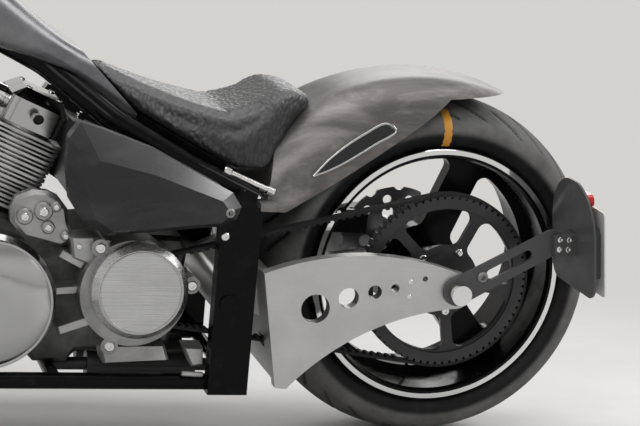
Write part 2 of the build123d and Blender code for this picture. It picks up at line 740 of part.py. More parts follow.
def fender_ring(grow):
    """Ring with the fender's domed section, grown by a distance and filled inward."""
    half = FENDER_HALF + grow
    radius = FENDER_ARC_RADIUS + grow
    dome = half - FENDER_FLAT
    bend = dome * math.sqrt(0.5)
    centre = (FENDER_ARC_CENTRE[0], 0, FENDER_ARC_CENTRE[1])
    with BuildPart() as ring:
        with BuildSketch(Plane(origin=centre, x_dir=(0, 1, 0), z_dir=(1, 0, 0))):
            with BuildLine():
                Line((-FENDER_FLAT, radius), (FENDER_FLAT, radius))
                for s in (-1, 1):
                    ThreePointArc(
                        (s * FENDER_FLAT, radius),
                        (s * (FENDER_FLAT + bend), radius - dome + bend),
                        (s * half, radius - dome),
                    )
                    Line((s * half, radius - dome), (s * half, FENDER_WALL))
                Line((-half, FENDER_WALL), (half, FENDER_WALL))
            make_face()
        revolve(axis=Axis(centre, (0, 1, 0)))
    return ring.part


def add_front_block(grow, reach):
    """Keeps only what lies behind the fender's front edge, moved forward by grow."""
    top, bottom = fender_front(grow, reach)
    far = FENDER_ARC_CENTRE[0] - FENDER_ARC_RADIUS - 50
    with BuildSketch(side(FENDER_HALF + 50)) as block:
        with BuildLine():
            Polyline((top.X, top.Y), (bottom.X, bottom.Y), (far, bottom.Y), (far, top.Y), close=True)
        make_face()
    extrude(block.sketch, amount=2 * FENDER_HALF + 100, mode=Mode.INTERSECT)


with BuildPart() as fender_well:
    add(fender_ring(-FENDER_WALL))
    add_front_block(-FENDER_WALL, 150)

with BuildPart() as rear_fender:
    add(fender_ring(0))
    with BuildSketch(side(FENDER_HALF)):
        with BuildLine():
            tip, crest = (fender_arc(-1, angle) for angle in (FENDER_ANGLES[0], 4))
            brow = (fender_front(0, 2)[0].X, fender_front(0, 2)[0].Y)
            chin = fender_arc(FENDER_CHIN[1], FENDER_CHIN[0])
            fold, sill, sweep_mid, sweep_end = (fender_arc(depth, angle) for angle, depth in FENDER_SKIRT)
            ThreePointArc(tip, crest, brow)
            Line(brow, chin)
            ThreePointArc(chin, fold, sill)
            ThreePointArc(sill, sweep_mid, sweep_end)
            Line(sweep_end, tip)
        make_face()
    extrude(amount=2 * FENDER_HALF, mode=Mode.INTERSECT)
    add(fender_well.part, mode=Mode.SUBTRACT)
    tab_from = chin[0] - 8
    tab_to = POST_X[0] - RUNNING_GAP
    for s in (-1, 1):
        with Locations(((tab_from + tab_to) / 2, s * (FENDER_HALF + 18), TAB_Z)):
            Box(tab_to - tab_from, 44, 14)

# Seat: side profile in arcs with a nose that leans forward over the tank's tail, waisted plan, its tail lying
# on the fender
SEAT_NOSE = ((593.0, 614.5), (667.0, 690.0))
SEAT_FIT = 0.5
with BuildPart() as seat:
    with BuildSketch(side(SEAT_HALF)):
        with BuildLine():
            Line(*SEAT_NOSE)
            ThreePointArc(SEAT_NOSE[1], (540, 643), (432, 617))
            ThreePointArc((432, 617), (375, 634), (330, 658))
            ThreePointArc((330, 658), (296, 666), (262, 650))
            Polyline((262, 650), (262, 520), (404, 520), SEAT_NOSE[0])
        make_face()
    extrude(amount=2 * SEAT_HALF)
    with BuildSketch(Plane.XY):
        with BuildLine():
            Polyline((670, 44), (580, 90), (470, SEAT_HALF - 2), (420, SEAT_HALF), (340, SEAT_HALF - 4), (250, 70))
            Polyline((670, -44), (580, -90), (470, 2 - SEAT_HALF), (420, -SEAT_HALF), (340, 4 - SEAT_HALF), (250, -70))
            Line((670, 44), (670, -44))
            Line((250, 70), (250, -70))
        make_face()
    extrude(amount=800, mode=Mode.INTERSECT)
    with BuildPart(mode=Mode.PRIVATE) as fender_room:
        add(fender_ring(SEAT_FIT))
        add_front_block(SEAT_FIT, 150)
    add(fender_room.part, mode=Mode.SUBTRACT)

# Seat pan, hollowed over the spine rails
with BuildPart() as seat_pan:
    with BuildSketch(side(118)):
        with BuildLine():
            drop = RUNNING_GAP
            Polyline((404, 520 - drop), (586, 611 - drop), (586, 579), (404, 492), close=True)
        make_face()
    extrude(amount=2 * 118)
    for s in (-1, 1):
        add_tube(rail_path(s), RAIL_RADIUS + RUNNING_GAP, 90, Mode.SUBTRACT)
    with BuildSketch(Plane.XY):
        with BuildLine():
            Polyline((590, 82), (560, 88), (400, 118), (400, -118), (560, -88), (590, -82), close=True)
        make_face()
    extrude(amount=800, mode=Mode.INTERSECT)

# Fuel tank: long teardrop resting on the rails, its tail under the seat's nose. One row for each station:
# share of the way from the tail to the neck, half width, underside, top.
TANK = [
    (0.0, 80, 598, 640),
    (0.09, 84, 628, 694),
    (0.235, 102, 686, 742),
    (0.436, 136, 724, 842),
    (0.66, 142, 790, 925),
    (0.868, 118, 862, 966),
    (1.0, 62, 922, 972),
]
TANK_TAIL = SEAT_NOSE[0][0] - 5
TANK_TO_NECK = 81.0
CAP_SHARE = 0.72
CAP_Z = 943.0
CAP_RADIUS = 34.0


def tank_x(share):
    """Place of a tank station along the machine."""
    return TANK_TAIL + share * (neck.X - TANK_TO_NECK - TANK_TAIL)


CAP_PLANE = Plane(origin=(tank_x(CAP_SHARE), 0, CAP_Z), x_dir=(0, 1, 0), z_dir=(-0.38, 0, 0.925))
with BuildPart() as fuel_tank:
    for share, half, low, high in TANK:
        with BuildSketch(Plane(origin=(tank_x(share), 0, (low + high) / 2), x_dir=(0, 1, 0), z_dir=(1, 0, 0))):
            RectangleRounded(2 * half, high - low, 0.42 * (high - low))
    loft()
    nose_low, nose_high = (Vector(*point) for point in SEAT_NOSE)
    nose_run = (nose_high - nose_low).normalized()
    nose_gap = Vector(nose_run.Y, -nose_run.X) * SEAT_FIT
    below = nose_low + nose_gap - nose_run * 80
    above = nose_high + nose_gap + nose_run * 80
    with BuildSketch(side(200)):
        with BuildLine():
            Polyline((below.X, below.Y), (above.X, above.Y), (below.X - 60, above.Y), close=True)
        make_face()
    extrude(amount=400, mode=Mode.SUBTRACT)
    for s in (-1, 1):
        add_tube(rail_path(s), RAIL_RADIUS + 0.5, 90, Mode.SUBTRACT)
    with BuildSketch(CAP_PLANE.offset(-10)) as pocket:
        Circle(CAP_RADIUS + RUNNING_GAP)
    extrude(pocket.sketch, amount=40, mode=Mode.SUBTRACT)

with BuildPart() as fuel_cap:
    with BuildSketch(CAP_PLANE.offset(-10 + RUNNING_GAP)):
        Circle(CAP_RADIUS)
    extrude(amount=22)
    fillet(fuel_cap.faces().sort_by(Axis.Z)[-1].edges(), radius=6)

# Fork
with BuildPart() as fork_sliders:
    for s in (-1, 1):
        with BuildSketch(Plane(origin=steer_point(-34, FORK_OFFSET, s * LEG_Y), x_dir=FORK.x_dir, z_dir=FORK.z_dir)):
            Circle(SLIDER_RADIUS)
        extrude(amount=374)
    add_ring_cut(FRONT_AXLE, FRONT.axle_radius + RUNNING_GAP, -200, 200)

STANCHION = (340 + RUNNING_GAP, 936)
with BuildPart() as fork_tubes:
    for s in (-1, 1):
        with BuildSketch(
            Plane(origin=steer_point(STANCHION[0], FORK_OFFSET, s * LEG_Y), x_dir=FORK.x_dir, z_dir=FORK.z_dir)
        ):
            Circle(STANCHION_RADIUS)
        extrude(amount=STANCHION[1] - STANCHION[0])


def make_tree(along, stem):
    """Triple clamp: three rounds joined by a hull, bored for the legs, with or without the stem."""
    with BuildPart() as tree:
        with BuildSketch(fork_plane(along)):
            with BuildSketch(mode=Mode.PRIVATE) as rounds:
                Circle(34)
                for s in (-1, 1):
                    with Locations((FORK_OFFSET, s * LEG_Y)):
                        Circle(STANCHION_RADIUS + 11)
            make_hull(rounds.edges())
            for s in (-1, 1):
                with Locations((FORK_OFFSET, s * LEG_Y)):
                    Circle(STANCHION_RADIUS + RUNNING_GAP, mode=Mode.SUBTRACT)
        extrude(amount=TREE_THICKNESS)
        if stem:
            with BuildSketch(fork_plane(along)) as shaft:
                Circle(STEM_RADIUS)
            extrude(shaft.sketch, amount=stem)
    return tree.part


LOWER_TREE = HEAD_TUBE[0] - TREE_THICKNESS - RUNNING_GAP
UPPER_TREE = HEAD_TUBE[1] + RUNNING_GAP
lower_tree = make_tree(LOWER_TREE, UPPER_TREE - LOWER_TREE - RUNNING_GAP)
upper_tree = make_tree(UPPER_TREE, 0)

with BuildPart() as front_axle:
    add_rod((WHEELBASE, -LEG_Y - 32, FRONT_AXLE_Z), (WHEELBASE, LEG_Y + 32, FRONT_AXLE_Z), FRONT.axle_radius)

# Handlebar on two risers
RISER_TOP = UPPER_TREE + TREE_THICKNESS + 70
bar_mid = steer_point(RISER_TOP, 20)
with BuildPart() as risers:
    for s in (-1, 1):
        add_rod(
            steer_point(UPPER_TREE + TREE_THICKNESS + RUNNING_GAP, 20, s * 45),
            steer_point(RISER_TOP - BAR_RADIUS - RUNNING_GAP, 20, s * 45),
            17,
        )
GRIP_END = (bar_mid.X - 225, 395, bar_mid.Z + 20)
GRIP_START = (bar_mid.X - 150, 275, bar_mid.Z + 40)
BAR_PATH = [
    GRIP_END,
    GRIP_START,
    (bar_mid.X, 110, bar_mid.Z),
    (bar_mid.X, -110, bar_mid.Z),
    (GRIP_START[0], -GRIP_START[1], GRIP_START[2]),
    (GRIP_END[0], -GRIP_END[1], GRIP_END[2]),
]
with BuildPart() as handlebar:
    add_tube(BAR_PATH, BAR_RADIUS, 60)


def bar_point(s, share, ahead=0.0):
    """Point beside a grip, from its outer end at 0 to the bend at 1, moved forward."""
    end = Vector(*GRIP_END)
    start = Vector(*GRIP_START)
    run = start - end
    level = Vector(run.Y, -run.X, 0).normalized()
    point = end + run * share + level * ahead
    return Vector(point.X, s * point.Y, point.Z)


with BuildPart() as grips:
    for s in (-1, 1):
        add_rod(bar_point(s, -0.03), bar_point(s, 0.72), GRIP_RADIUS)
        add_rod(bar_point(s, 0.0), bar_point(s, 0.9), BAR_RADIUS + RUNNING_GAP, Mode.SUBTRACT)

with BuildPart() as levers:
    for s in (-1, 1):
        add_rod(bar_point(s, 0.76), bar_point(s, 0.88), GRIP_RADIUS + 1)
        add_rod(bar_point(s, 0.82), bar_point(s, 0.82, 42), 8)
        add_rod(bar_point(s, 0.86, 42), bar_point(s, 0.10, 44), 6)
        add_rod(bar_point(s, 0.70), bar_point(s, 0.94), BAR_RADIUS + RUNNING_GAP, Mode.SUBTRACT)

# Headlamp between the fork tubes, on an arm from the lower tree
with BuildPart() as headlamp:
    lamp_mid = steer_point(LOWER_TREE + 112, 176)
    lamp_axis = Vector(1, 0, 0)
    with BuildSketch(Plane(origin=lamp_mid, x_dir=(0, 0, 1), z_dir=(0, 1, 0))):
        with BuildLine():
            Polyline((72, 18), (66, 24), (0, 24), (0, -76), (34, -72))
            ThreePointArc((34, -72), (62, -40), (72, 0))
            Line((72, 0), (72, 18))
        make_face()
    revolve(axis=Axis(lamp_mid, lamp_axis))
    arm_foot = steer_point(LOWER_TREE + TREE_THICKNESS + RUNNING_GAP, 74)
    arm_bend = arm_foot + FORK.z_dir * 42
    add_rod(arm_foot, arm_bend + FORK.z_dir * 6, 13)
    add_rod(arm_bend, lamp_mid - lamp_axis * 40, 12)

# Front fender: slim blade over the tyre, on stays to the sliders
FENDER_BACK = 78.0
FENDER_SWEEP = 104.0
with BuildPart() as front_fender:
    blade = FRONT.tyre_radius + 14
    back = math.radians(FENDER_BACK)
    with BuildSketch(Plane(origin=FRONT_AXLE, x_dir=(0, 1, 0), z_dir=(math.cos(back), 0, math.sin(back)))):
        with BuildLine():
            Polyline(
                (-72, blade - 34), (-69, blade - 34), (-58, blade), (58, blade), (69, blade - 34),
                (72, blade - 34), (60, blade + 4), (-60, blade + 4), close=True,
            )
        make_face()
    revolve(axis=Axis(FRONT_AXLE, (0, 1, 0)), revolution_arc=FENDER_SWEEP)
    for s in (-1, 1):
        stay = steer_point(329, FORK_OFFSET)
        reach = LEG_Y - SLIDER_RADIUS - RUNNING_GAP
        add_rod((stay.X, s * 70, stay.Z), (stay.X, s * reach, stay.Z), 7)

# Brake calipers astride their discs
with BuildPart() as rear_caliper:
    with Locations((104, -(ARM_IN + 131) / 2, 372)):
        Box(78, ARM_IN - RUNNING_GAP - 131.5, 46)
    with BuildSketch(wheel_side(REAR_AXLE, REAR_DISC_Y + 6)):
        Circle(REAR_DISC_RADIUS + 6)
    extrude(amount=12, mode=Mode.SUBTRACT)

with BuildPart() as front_caliper:
    with BuildSketch(Plane(origin=steer_point(62, FORK_OFFSET), x_dir=FORK.x_dir, z_dir=FORK.z_dir)):
        with Locations((-70, 74)):
            Rectangle(76, 40)
        with Locations((-36, 98)):
            Rectangle(17, 40)
    extrude(amount=70)
    with BuildSketch(wheel_side(FRONT_AXLE, FRONT_DISC_Y + 6)):
        Circle(FRONT_DISC_RADIUS + 6)
    extrude(amount=12, mode=Mode.SUBTRACT)

# Number plate bracket: two arms from the axle's left end to a domed backing plate; blank plate and tail lamp
PLATE_Y = 240.0
PLATE_SHEET = 4.0
PLATE_STAND_OFF = 20.0
PLATE_PLANE = Plane(origin=(-214, PLATE_Y, 446), x_dir=(0, -1, 0), z_dir=(-0.9914, 0, 0.1305))
ARM_TIP = (-176.0, 428.0)
with BuildPart() as plate_bracket:
    with BuildSketch(side(ARM_OUT + 8.5)):
        with BuildSketch(mode=Mode.PRIVATE) as ends:
            with Locations((0, REAR_AXLE.Z)):
                Circle(26)
            with Locations(ARM_TIP):
                Circle(24)
        make_hull(ends.edges())
        with Locations((0, REAR_AXLE.Z)):
            Circle(REAR.axle_radius + RUNNING_GAP, mode=Mode.SUBTRACT)
        with Locations(Location((-96, 384), 151)):
            SlotOverall(96, 20, mode=Mode.SUBTRACT)
    extrude(amount=8)
    with BuildSketch(PLATE_PLANE) as foot:
        with Locations((PLATE_Y - ARM_OUT - 4.5, ARM_TIP[1] - PLATE_PLANE.origin.Z)):
            Rectangle(40, 40)
    extrude(foot.sketch, amount=-42)
    with BuildSketch(PLATE_PLANE) as dish:
        RectangleRounded(204, 206, 94)
        with Locations((0, -50)):
            RectangleRounded(204, 106, 30)
    extrude(dish.sketch, amount=PLATE_SHEET)
    with BuildSketch(PLATE_PLANE.offset(PLATE_SHEET)) as carrier:
        with Locations((0, -24)):
            RectangleRounded(150, 96, 12)
    extrude(carrier.sketch, amount=PLATE_STAND_OFF)

with BuildPart() as number_plate:
    with BuildSketch(PLATE_PLANE.offset(PLATE_SHEET + PLATE_STAND_OFF + RUNNING_GAP)):
        with Locations((0, -22)):
            RectangleRounded(182, 160, 8)
    extrude(amount=2)

with BuildPart() as tail_lamp:
    with BuildSketch(PLATE_PLANE.offset(PLATE_SHEET + RUNNING_GAP)):
        with Locations((0, 74)):
            SlotOverall(120, 22)
    extrude(amount=14)


def make_foot_control(s):
    """Forward foot control: clamp on the down tube, footpeg, pedal arm and toe peg."""
    at = cradle_point(s, 0.24)
    with BuildPart() as control:
        add_rod(cradle_point(s, 0.205), cradle_point(s, 0.275), 23)
        add_rod((at.X, at.Y, at.Z), (at.X, s * 240, at.Z), 12)
        add_rod((at.X, s * 215, at.Z), (at.X, s * 335, at.Z), 17)
        add_rod((at.X, s * 205, at.Z), (at.X + 105, s * 225, at.Z + 28), 7)
        add_rod((at.X + 105, s * 212, at.Z + 28), (at.X + 105, s * 300, at.Z + 28), 10)
        add_rod(cradle_point(s, 0.1), cradle_point(s, 0.4), CRADLE_RADIUS + RUNNING_GAP, Mode.SUBTRACT)
    return control.part


controls = {name: make_foot_control(s) for name, s in (("left", 1), ("right", -1))}

# Side stand: clamp and fork on the left cradle rail, leg down to a flat foot on the road.
# It folds back about an axis square to the leg and to the rail.
stand_pivot = Vector(*STAND_PIVOT)
stand_foot = Vector(STAND_FOOT[0], STAND_FOOT[1], road_z(STAND_FOOT[1]))
stand_run = stand_foot + ROAD_UP * 8 - stand_pivot
STAND_AXIS = stand_run.cross(Vector(-1, 0, 0)).normalized()
STAND_EYE = 17.0
EYE_HALF = 12.0
with BuildPart() as side_stand:
    add_rod(stand_pivot - STAND_AXIS * EYE_HALF, stand_pivot + STAND_AXIS * EYE_HALF, STAND_EYE)
    add_rod(stand_pivot, stand_pivot + stand_run, STAND_LEG_RADIUS)
    with BuildSketch(Plane(origin=stand_foot, x_dir=(1, 0, 0), z_dir=ROAD_UP)) as foot_pad:
        RectangleRounded(64, 46, 12)
    extrude(foot_pad.sketch, amount=8)
    add_rod(stand_pivot - STAND_AXIS * 30, stand_pivot + STAND_AXIS * 30, 6.05, Mode.SUBTRACT)

with BuildPart() as stand_bracket:
    x_mid = STAND_PIVOT[0]
    add_rod((x_mid - 34, CRADLE_Y, CRADLE_Z), (x_mid + 34, CRADLE_Y, CRADLE_Z), 24)
    for s in (-1, 1):
        cheek = stand_pivot + STAND_AXIS * (s * (EYE_HALF + 1))
        outer = cheek + STAND_AXIS * (s * 7)
        add_rod(cheek, outer, STAND_EYE)
        inward = Vector(0, STAND_AXIS.Z, -STAND_AXIS.Y) * -1
        with BuildSketch(Plane(origin=cheek + inward * 21, x_dir=(1, 0, 0), z_dir=STAND_AXIS * s)) as web:
            Rectangle(2 * STAND_EYE, 42)
        extrude(web.sketch, amount=7)
    add_rod(stand_pivot - STAND_AXIS * 22, stand_pivot + STAND_AXIS * 22, 6.0)
    add_rod((x_mid - 60, CRADLE_Y, CRADLE_Z), (x_mid + 60, CRADLE_Y, CRADLE_Z), CRADLE_RADIUS + RUNNING_GAP, Mode.SUBTRACT)

pieces = {
    "rear_tyre": rear_tyre,
    "rear_rim": rear_rim,
    "rear_pulley": rear_pulley.part,
    "rear_brake_disc": rear_disc,
    "front_tyre": front_tyre,
    "front_rim": front_rim,
    "front_brake_disc": front_disc,
    "drive_belt": drive_belt.part,
    "swingarm": swingarm.part,
    "rear_axle": rear_axle.part,
    "frame": frame.part,
    "pivot_bolt": pivot_bolt.part,
    "crankcase": crankcase.part,
    "primary_case": primary_case.part,
    "clutch_dome": clutch_dome.part,
    "gearbox_flange": gearbox_flange.part,
    "gearbox_cover": gearbox_cover.part,
    "cylinder_rear": barrels["rear"],
    "cylinder_front": barrels["front"],
    "head_rear": heads["rear"],
    "head_front": heads["front"],
    "air_cleaner": air_cleaner.part,
    "exhaust": exhaust.part,
    "oil_tank": oil_tank.part,
    "seat": seat.part,
    "rear_fender": rear_fender.part,
    "fuel_tank": fuel_tank.part,
    "fork_sliders": fork_sliders.part,
    "fork_tubes": fork_tubes.part,
    "lower_tree": lower_tree,
    "upper_tree": upper_tree,
    "front_axle": front_axle.part,
    "risers": risers.part,
    "handlebar": handlebar.part,
    "headlamp": headlamp.part,
    "front_fender": front_fender.part,
    "side_stand": side_stand.part,
    "stand_bracket": stand_bracket.part,
    "shock_absorbers": shock_absorbers.part,
    "seat_pan": seat_pan.part,
    "fuel_cap": fuel_cap.part,
    "grips": grips.part,
    "levers": levers.part,
    "rear_caliper": rear_caliper.part,
    "front_caliper": front_caliper.part,
    "plate_bracket": plate_bracket.part,
    "number_plate": number_plate.part,
    "tail_lamp": tail_lamp.part,
    "foot_control_left": controls["left"],
    "foot_control_right": controls["right"],
}

# Lean every piece onto the stand, then set the whole on the centre of its footprint.
leaned = {name: piece.rotate(Axis.X, -LEAN) for name, piece in pieces.items()}
boxes = [piece.bounding_box() for piece in leaned.values()]
low = [min(getattr(b.min, axis) for b in boxes) for axis in "XYZ"]
high = [max(getattr(b.max, axis) for b in boxes) for axis in "XYZ"]
FOOTPRINT = Vector((low[0] + high[0]) / 2, (low[1] + high[1]) / 2, low[2])
os.makedirs("parts", exist_ok=True)
for name, piece in leaned.items():
    placed = piece.translate(-FOOTPRINT)
    placed.label = name
    export_step(placed, f"parts/{name}.step")
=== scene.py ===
"""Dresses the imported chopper: finishes, tyres with tread, padded seat, castings, trim, fasteners and stage.

Pieces are drawn on the upright machine in millimetres, X forward from the rear axle, Y to the rider's left,
Z up from the road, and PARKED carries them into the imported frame, where the machine leans on its side stand.
"""

import json
import math

import bmesh
import bpy
from mathutils import Matrix, Vector, noise
from mathutils.bvhtree import BVHTree


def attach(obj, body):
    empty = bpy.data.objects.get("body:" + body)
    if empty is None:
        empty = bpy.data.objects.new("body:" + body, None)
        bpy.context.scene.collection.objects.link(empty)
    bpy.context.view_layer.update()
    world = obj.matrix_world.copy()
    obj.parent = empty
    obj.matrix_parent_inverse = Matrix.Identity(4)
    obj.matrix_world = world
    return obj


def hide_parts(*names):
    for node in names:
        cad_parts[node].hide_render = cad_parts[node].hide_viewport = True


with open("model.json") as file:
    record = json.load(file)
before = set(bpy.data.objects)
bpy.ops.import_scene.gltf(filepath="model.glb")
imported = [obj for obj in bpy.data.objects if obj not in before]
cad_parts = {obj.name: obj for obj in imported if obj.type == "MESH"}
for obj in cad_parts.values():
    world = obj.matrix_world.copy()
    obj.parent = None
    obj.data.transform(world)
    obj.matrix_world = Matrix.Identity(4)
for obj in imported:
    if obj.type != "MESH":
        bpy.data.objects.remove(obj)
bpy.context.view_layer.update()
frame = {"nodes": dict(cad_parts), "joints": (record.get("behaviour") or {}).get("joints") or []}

bl_info = {
    "name": "Chopper dressing",
    "version": (1, 0, 0),
    "blender": (4, 5, 0),
    "location": "3D View > Sidebar > Chopper",
    "description": "Finishes, soft parts, trim and stage for a parked chopper",
    "category": "Object",
}

MM = 0.001
JOINTS = {joint["name"]: joint for joint in frame["joints"]}
REAR_AXLE = Vector(JOINTS["rear_wheel_spin"]["pos_m"])
FRONT_AXLE = Vector(JOINTS["front_wheel_spin"]["pos_m"])
SPIN_AXIS = Vector(JOINTS["rear_wheel_spin"]["axis"])
LEAN = math.atan2(-SPIN_AXIS.z, SPIN_AXIS.y)
REAR_RADIUS = 330.0
UPRIGHT = Matrix.Rotation(-LEAN, 4, "X")
PARKED = (
    Matrix.Translation(REAR_AXLE)
    @ UPRIGHT
    @ Matrix.Translation((0, 0, -REAR_RADIUS * MM))
    @ Matrix.Scale(MM, 4)
)
FRONT_AT = PARKED.inverted() @ FRONT_AXLE

# The photograph's camera, fitted to the rear wheel: turn and height in degrees, roll, distance in mm,
# focal length in pixels, and where the rear wheel's centre falls in the 640 x 426 picture.
PHOTO_WIDTH, PHOTO_HEIGHT = 640, 426
PHOTO_TURN, PHOTO_RISE, PHOTO_ROLL = 19.657, 13.371, 6.0
PHOTO_DISTANCE = 4200.0
PHOTO_FOCAL = 2163.0
PHOTO_WHEEL = (416.78, 259.51)
SENSOR = 36.0
# Distances from the middle of the floor over which it fades into the room
FLOOR_FADE = (1.5, 3.4)
FLOOR_HALF = 14.0
# Soft boxes: name, place, target, size and power
LAMPS = [
    ("overhead", (-0.3, 0.3, 4.2), (-0.3, 0.0, 0.4), (4.5, 2.4), 70),
    ("near_side", (1.6, 4.2, 2.4), (-0.4, 0.0, 0.5), (2.6, 1.8), 58),
    ("far_side", (-2.6, -3.4, 2.6), (-0.3, 0.0, 0.5), (3.0, 1.6), 40),
    ("behind", (-4.4, 1.2, 3.0), (-0.9, 0.0, 0.5), (2.2, 2.0), 85),
]
# The room as seen and reflected: tone at heights from level to straight up. Then its softer light.
ROOM_BANDS = [(0.0, 1.0), (0.2, 1.15), (0.36, 1.1), (0.55, 0.6), (0.82, 1.05)]
ROOM_LIGHT, ROOM_STRENGTH = (0.93, 0.95, 1.0, 1), 0.42

# Names of the finishes, filled when they are made
FINISH = {}


def length_property(label, words, size):
    """One length, given in mm, that a user would change."""
    return bpy.props.FloatProperty(name=label, description=words, default=size * MM, unit="LENGTH")


def count_property(label, words, default):
    """One number of copies that a user would change."""
    return bpy.props.IntProperty(name=label, description=words, default=default, min=8)


class ChopperSizes(bpy.types.PropertyGroup):
    """Sizes that a user would change."""

    tread_depth: length_property("Tread depth", "Depth of the tyre grooves", 7.0)
    rear_grooves: count_property("Rear grooves", "Slanted grooves on each shoulder of the rear tyre", 28)
    front_grooves: count_property("Front grooves", "Slanted grooves on each shoulder of the front tyre", 34)
    seat_voxel: length_property("Seat voxel", "Mesh size of the seat's cover before it is filled", 5.0)
    scale_size: length_property("Leather scale", "Width of one embossed leather scale", 9.0)
    screw_radius: length_property("Screw radius", "Radius of a size 1 screw head", 5.0)
    screw_height: length_property("Screw height", "Height of a size 1 screw head", 3.6)
    belt_pitch: length_property("Belt pitch", "Distance between two teeth of the drive belt", 14.0)


def colour_property(label, words, default):
    """One colour that a user would change."""
    return bpy.props.FloatVectorProperty(
        name=label, description=words, subtype="COLOR", size=3, min=0, max=1, default=default
    )


class ChopperColours(bpy.types.PropertyGroup):
    """Colours that a user would change."""

    paint: colour_property("Paint", "Dark side of the metallic body paint", (0.1, 0.092, 0.088))
    paint_light: colour_property("Paint light", "Worn, bright side of the body paint", (0.36, 0.335, 0.32))
    gunmetal: colour_property("Gunmetal", "Side covers", (0.03, 0.029, 0.03))
    black: colour_property("Black", "Frame and rims", (0.003, 0.003, 0.0034))
    rubber: colour_property("Rubber", "Tyres, belt and grips", (0.003, 0.003, 0.0036))
    # The dust colour is partly road dust and partly a painted sheen on the tread
    dust: colour_property("Dust", "Road dust on the tread", (0.13, 0.128, 0.123))
    leather: colour_property("Leather", "Seat cover", (0.014, 0.014, 0.015))
    aluminium: colour_property("Aluminium", "Brushed and polished alloy", (0.62, 0.62, 0.61))
    amber: colour_property("Amber", "Band on the rear tyre", (0.55, 0.25, 0.03))
    tank: colour_property("Tank", "Fuel tank and front fender", (0.13, 0.13, 0.137))
    floor: colour_property("Floor", "Pale studio floor", (0.7, 0.69, 0.67))
    room: colour_property("Room", "Pale room behind the floor", (0.66, 0.645, 0.62))


# Shader building


class TreeBuilder:
    """Adds nodes to a tree, with their inputs linked or set."""

    def __init__(self, tree):
        self.tree = tree

    def set(self, node, name, value):
        """Links a socket into an input, or sets the input's own value."""
        if isinstance(value, bpy.types.NodeSocket):
            self.tree.links.new(value, node.inputs[name])
        else:
            node.inputs[name].default_value = value

    def node(self, kind, settings=None, **inputs):
        """Adds a node with its settings and inputs."""
        made = self.tree.nodes.new(kind)
        for key, value in (settings or {}).items():
            setattr(made, key, value)
        for key, value in inputs.items():
            self.set(made, key.replace("_", " "), value)
        return made

    def math(self, operation, a, b=0.0):
        """One arithmetic step."""
        made = self.node("ShaderNodeMath", {"operation": operation})
        self.set(made, 0, a)
        self.set(made, 1, b)
        return made.outputs[0]


class Finish(TreeBuilder):
    """One procedural material on Object coordinates of the parked machine."""

    def __init__(
        self, name, colour, metallic=0.0, roughness=0.5, coat=0.0, coat_roughness=0.08, specular=0.5
    ):
        self.material = bpy.data.materials.new(name)
        self.material.use_nodes = True
        super().__init__(self.material.node_tree)
        self.shader = self.tree.nodes["Principled BSDF"]
        self.coords = self.tree.nodes.new("ShaderNodeTexCoord").outputs["Object"]
        values = {
            "Base Color": (*colour, 1),
            "Metallic": metallic,
            "Roughness": roughness,
            "Coat Weight": coat,
            "Coat Roughness": coat_roughness,
            "Specular IOR Level": specular,
        }
        for key, value in values.items():
            self.set(self.shader, key, value)
        self.material.diffuse_color = (*colour, 1)
        FINISH[name] = self.material

    def place(self, scale=(1, 1, 1), centre=(0, 0, 0)):
        """Coordinates turned upright about a centre, then stretched."""
        moved = self.node("ShaderNodeVectorMath", {"operation": "SUBTRACT"})
        self.set(moved, 0, self.coords)
        self.set(moved, 1, centre)
        turned = self.node("ShaderNodeMapping", Vector=moved.outputs[0], Rotation=(LEAN, 0, 0), Scale=scale)
        return turned.outputs[0]

    def noise(self, scale, detail=4.0, roughness=0.55, stretch=(1, 1, 1), distortion=0.0):
        """Noise value from 0 to 1, stretched along the machine."""
        made = self.node(
            "ShaderNodeTexNoise",
            Vector=self.place(stretch),
            Scale=scale,
            Detail=detail,
            Roughness=roughness,
            Distortion=distortion,
        )
        return made.outputs["Fac"]

    def range(self, value, low, high, to_low=0.0, to_high=1.0):
        """Maps a value from one range to another, smoothly and clamped."""
        made = self.node("ShaderNodeMapRange", {"interpolation_type": "SMOOTHSTEP"}, Value=value)
        for name, number in (("From Min", low), ("From Max", high), ("To Min", to_low), ("To Max", to_high)):
            made.inputs[name].default_value = number
        return made.outputs[0]

    def mix(self, factor, a, b):
        """Mixes two colours."""
        made = self.node("ShaderNodeMix", {"data_type": "RGBA"})
        self.set(made, 0, factor)
        for index, colour in ((6, a), (7, b)):
            self.set(made, index, colour if isinstance(colour, bpy.types.NodeSocket) else (*colour, 1))
        return made.outputs[2]

    def colour(self, socket):
        """Sets the base colour."""
        self.set(self.shader, "Base Color", socket)

    def roughness(self, socket):
        """Sets the roughness."""
        self.set(self.shader, "Roughness", socket)

    def bump(self, height, strength=0.3, distance=0.001):
        """Bends the surface's normal by a height."""
        made = self.node("ShaderNodeBump", Height=height, Strength=strength, Distance=distance)
        self.set(self.shader, "Normal", made.outputs[0])


def lighter(colour, share):
    """A colour moved towards white."""
    return tuple(channel + (1 - channel) * share for channel in colour)


def darker(colour, share):
    """A colour moved towards black."""
    return tuple(channel * (1 - share) for channel in colour)


def brushed_alloy(name, colour, stretch, roughness=0.3, contrast=0.3):
    """Alloy with fine straight brush lines and cloudy handling marks."""
    made = Finish(name, colour, metallic=1.0, roughness=roughness)
    lines = made.noise(1.0, 3, 0.6, stretch)
    cloud = made.noise(9.0, 5, 0.6)
    tone = made.mix(made.range(lines, 0.3, 0.7), darker(colour, contrast), lighter(colour, contrast * 0.5))
    made.colour(made.mix(made.range(cloud, 0.35, 0.75, 0.0, 0.5), tone, darker(colour, 0.28)))
    made.roughness(made.range(lines, 0.2, 0.8, roughness * 0.75, roughness * 1.35))
    made.bump(lines, 0.12, 0.0004)
    return made


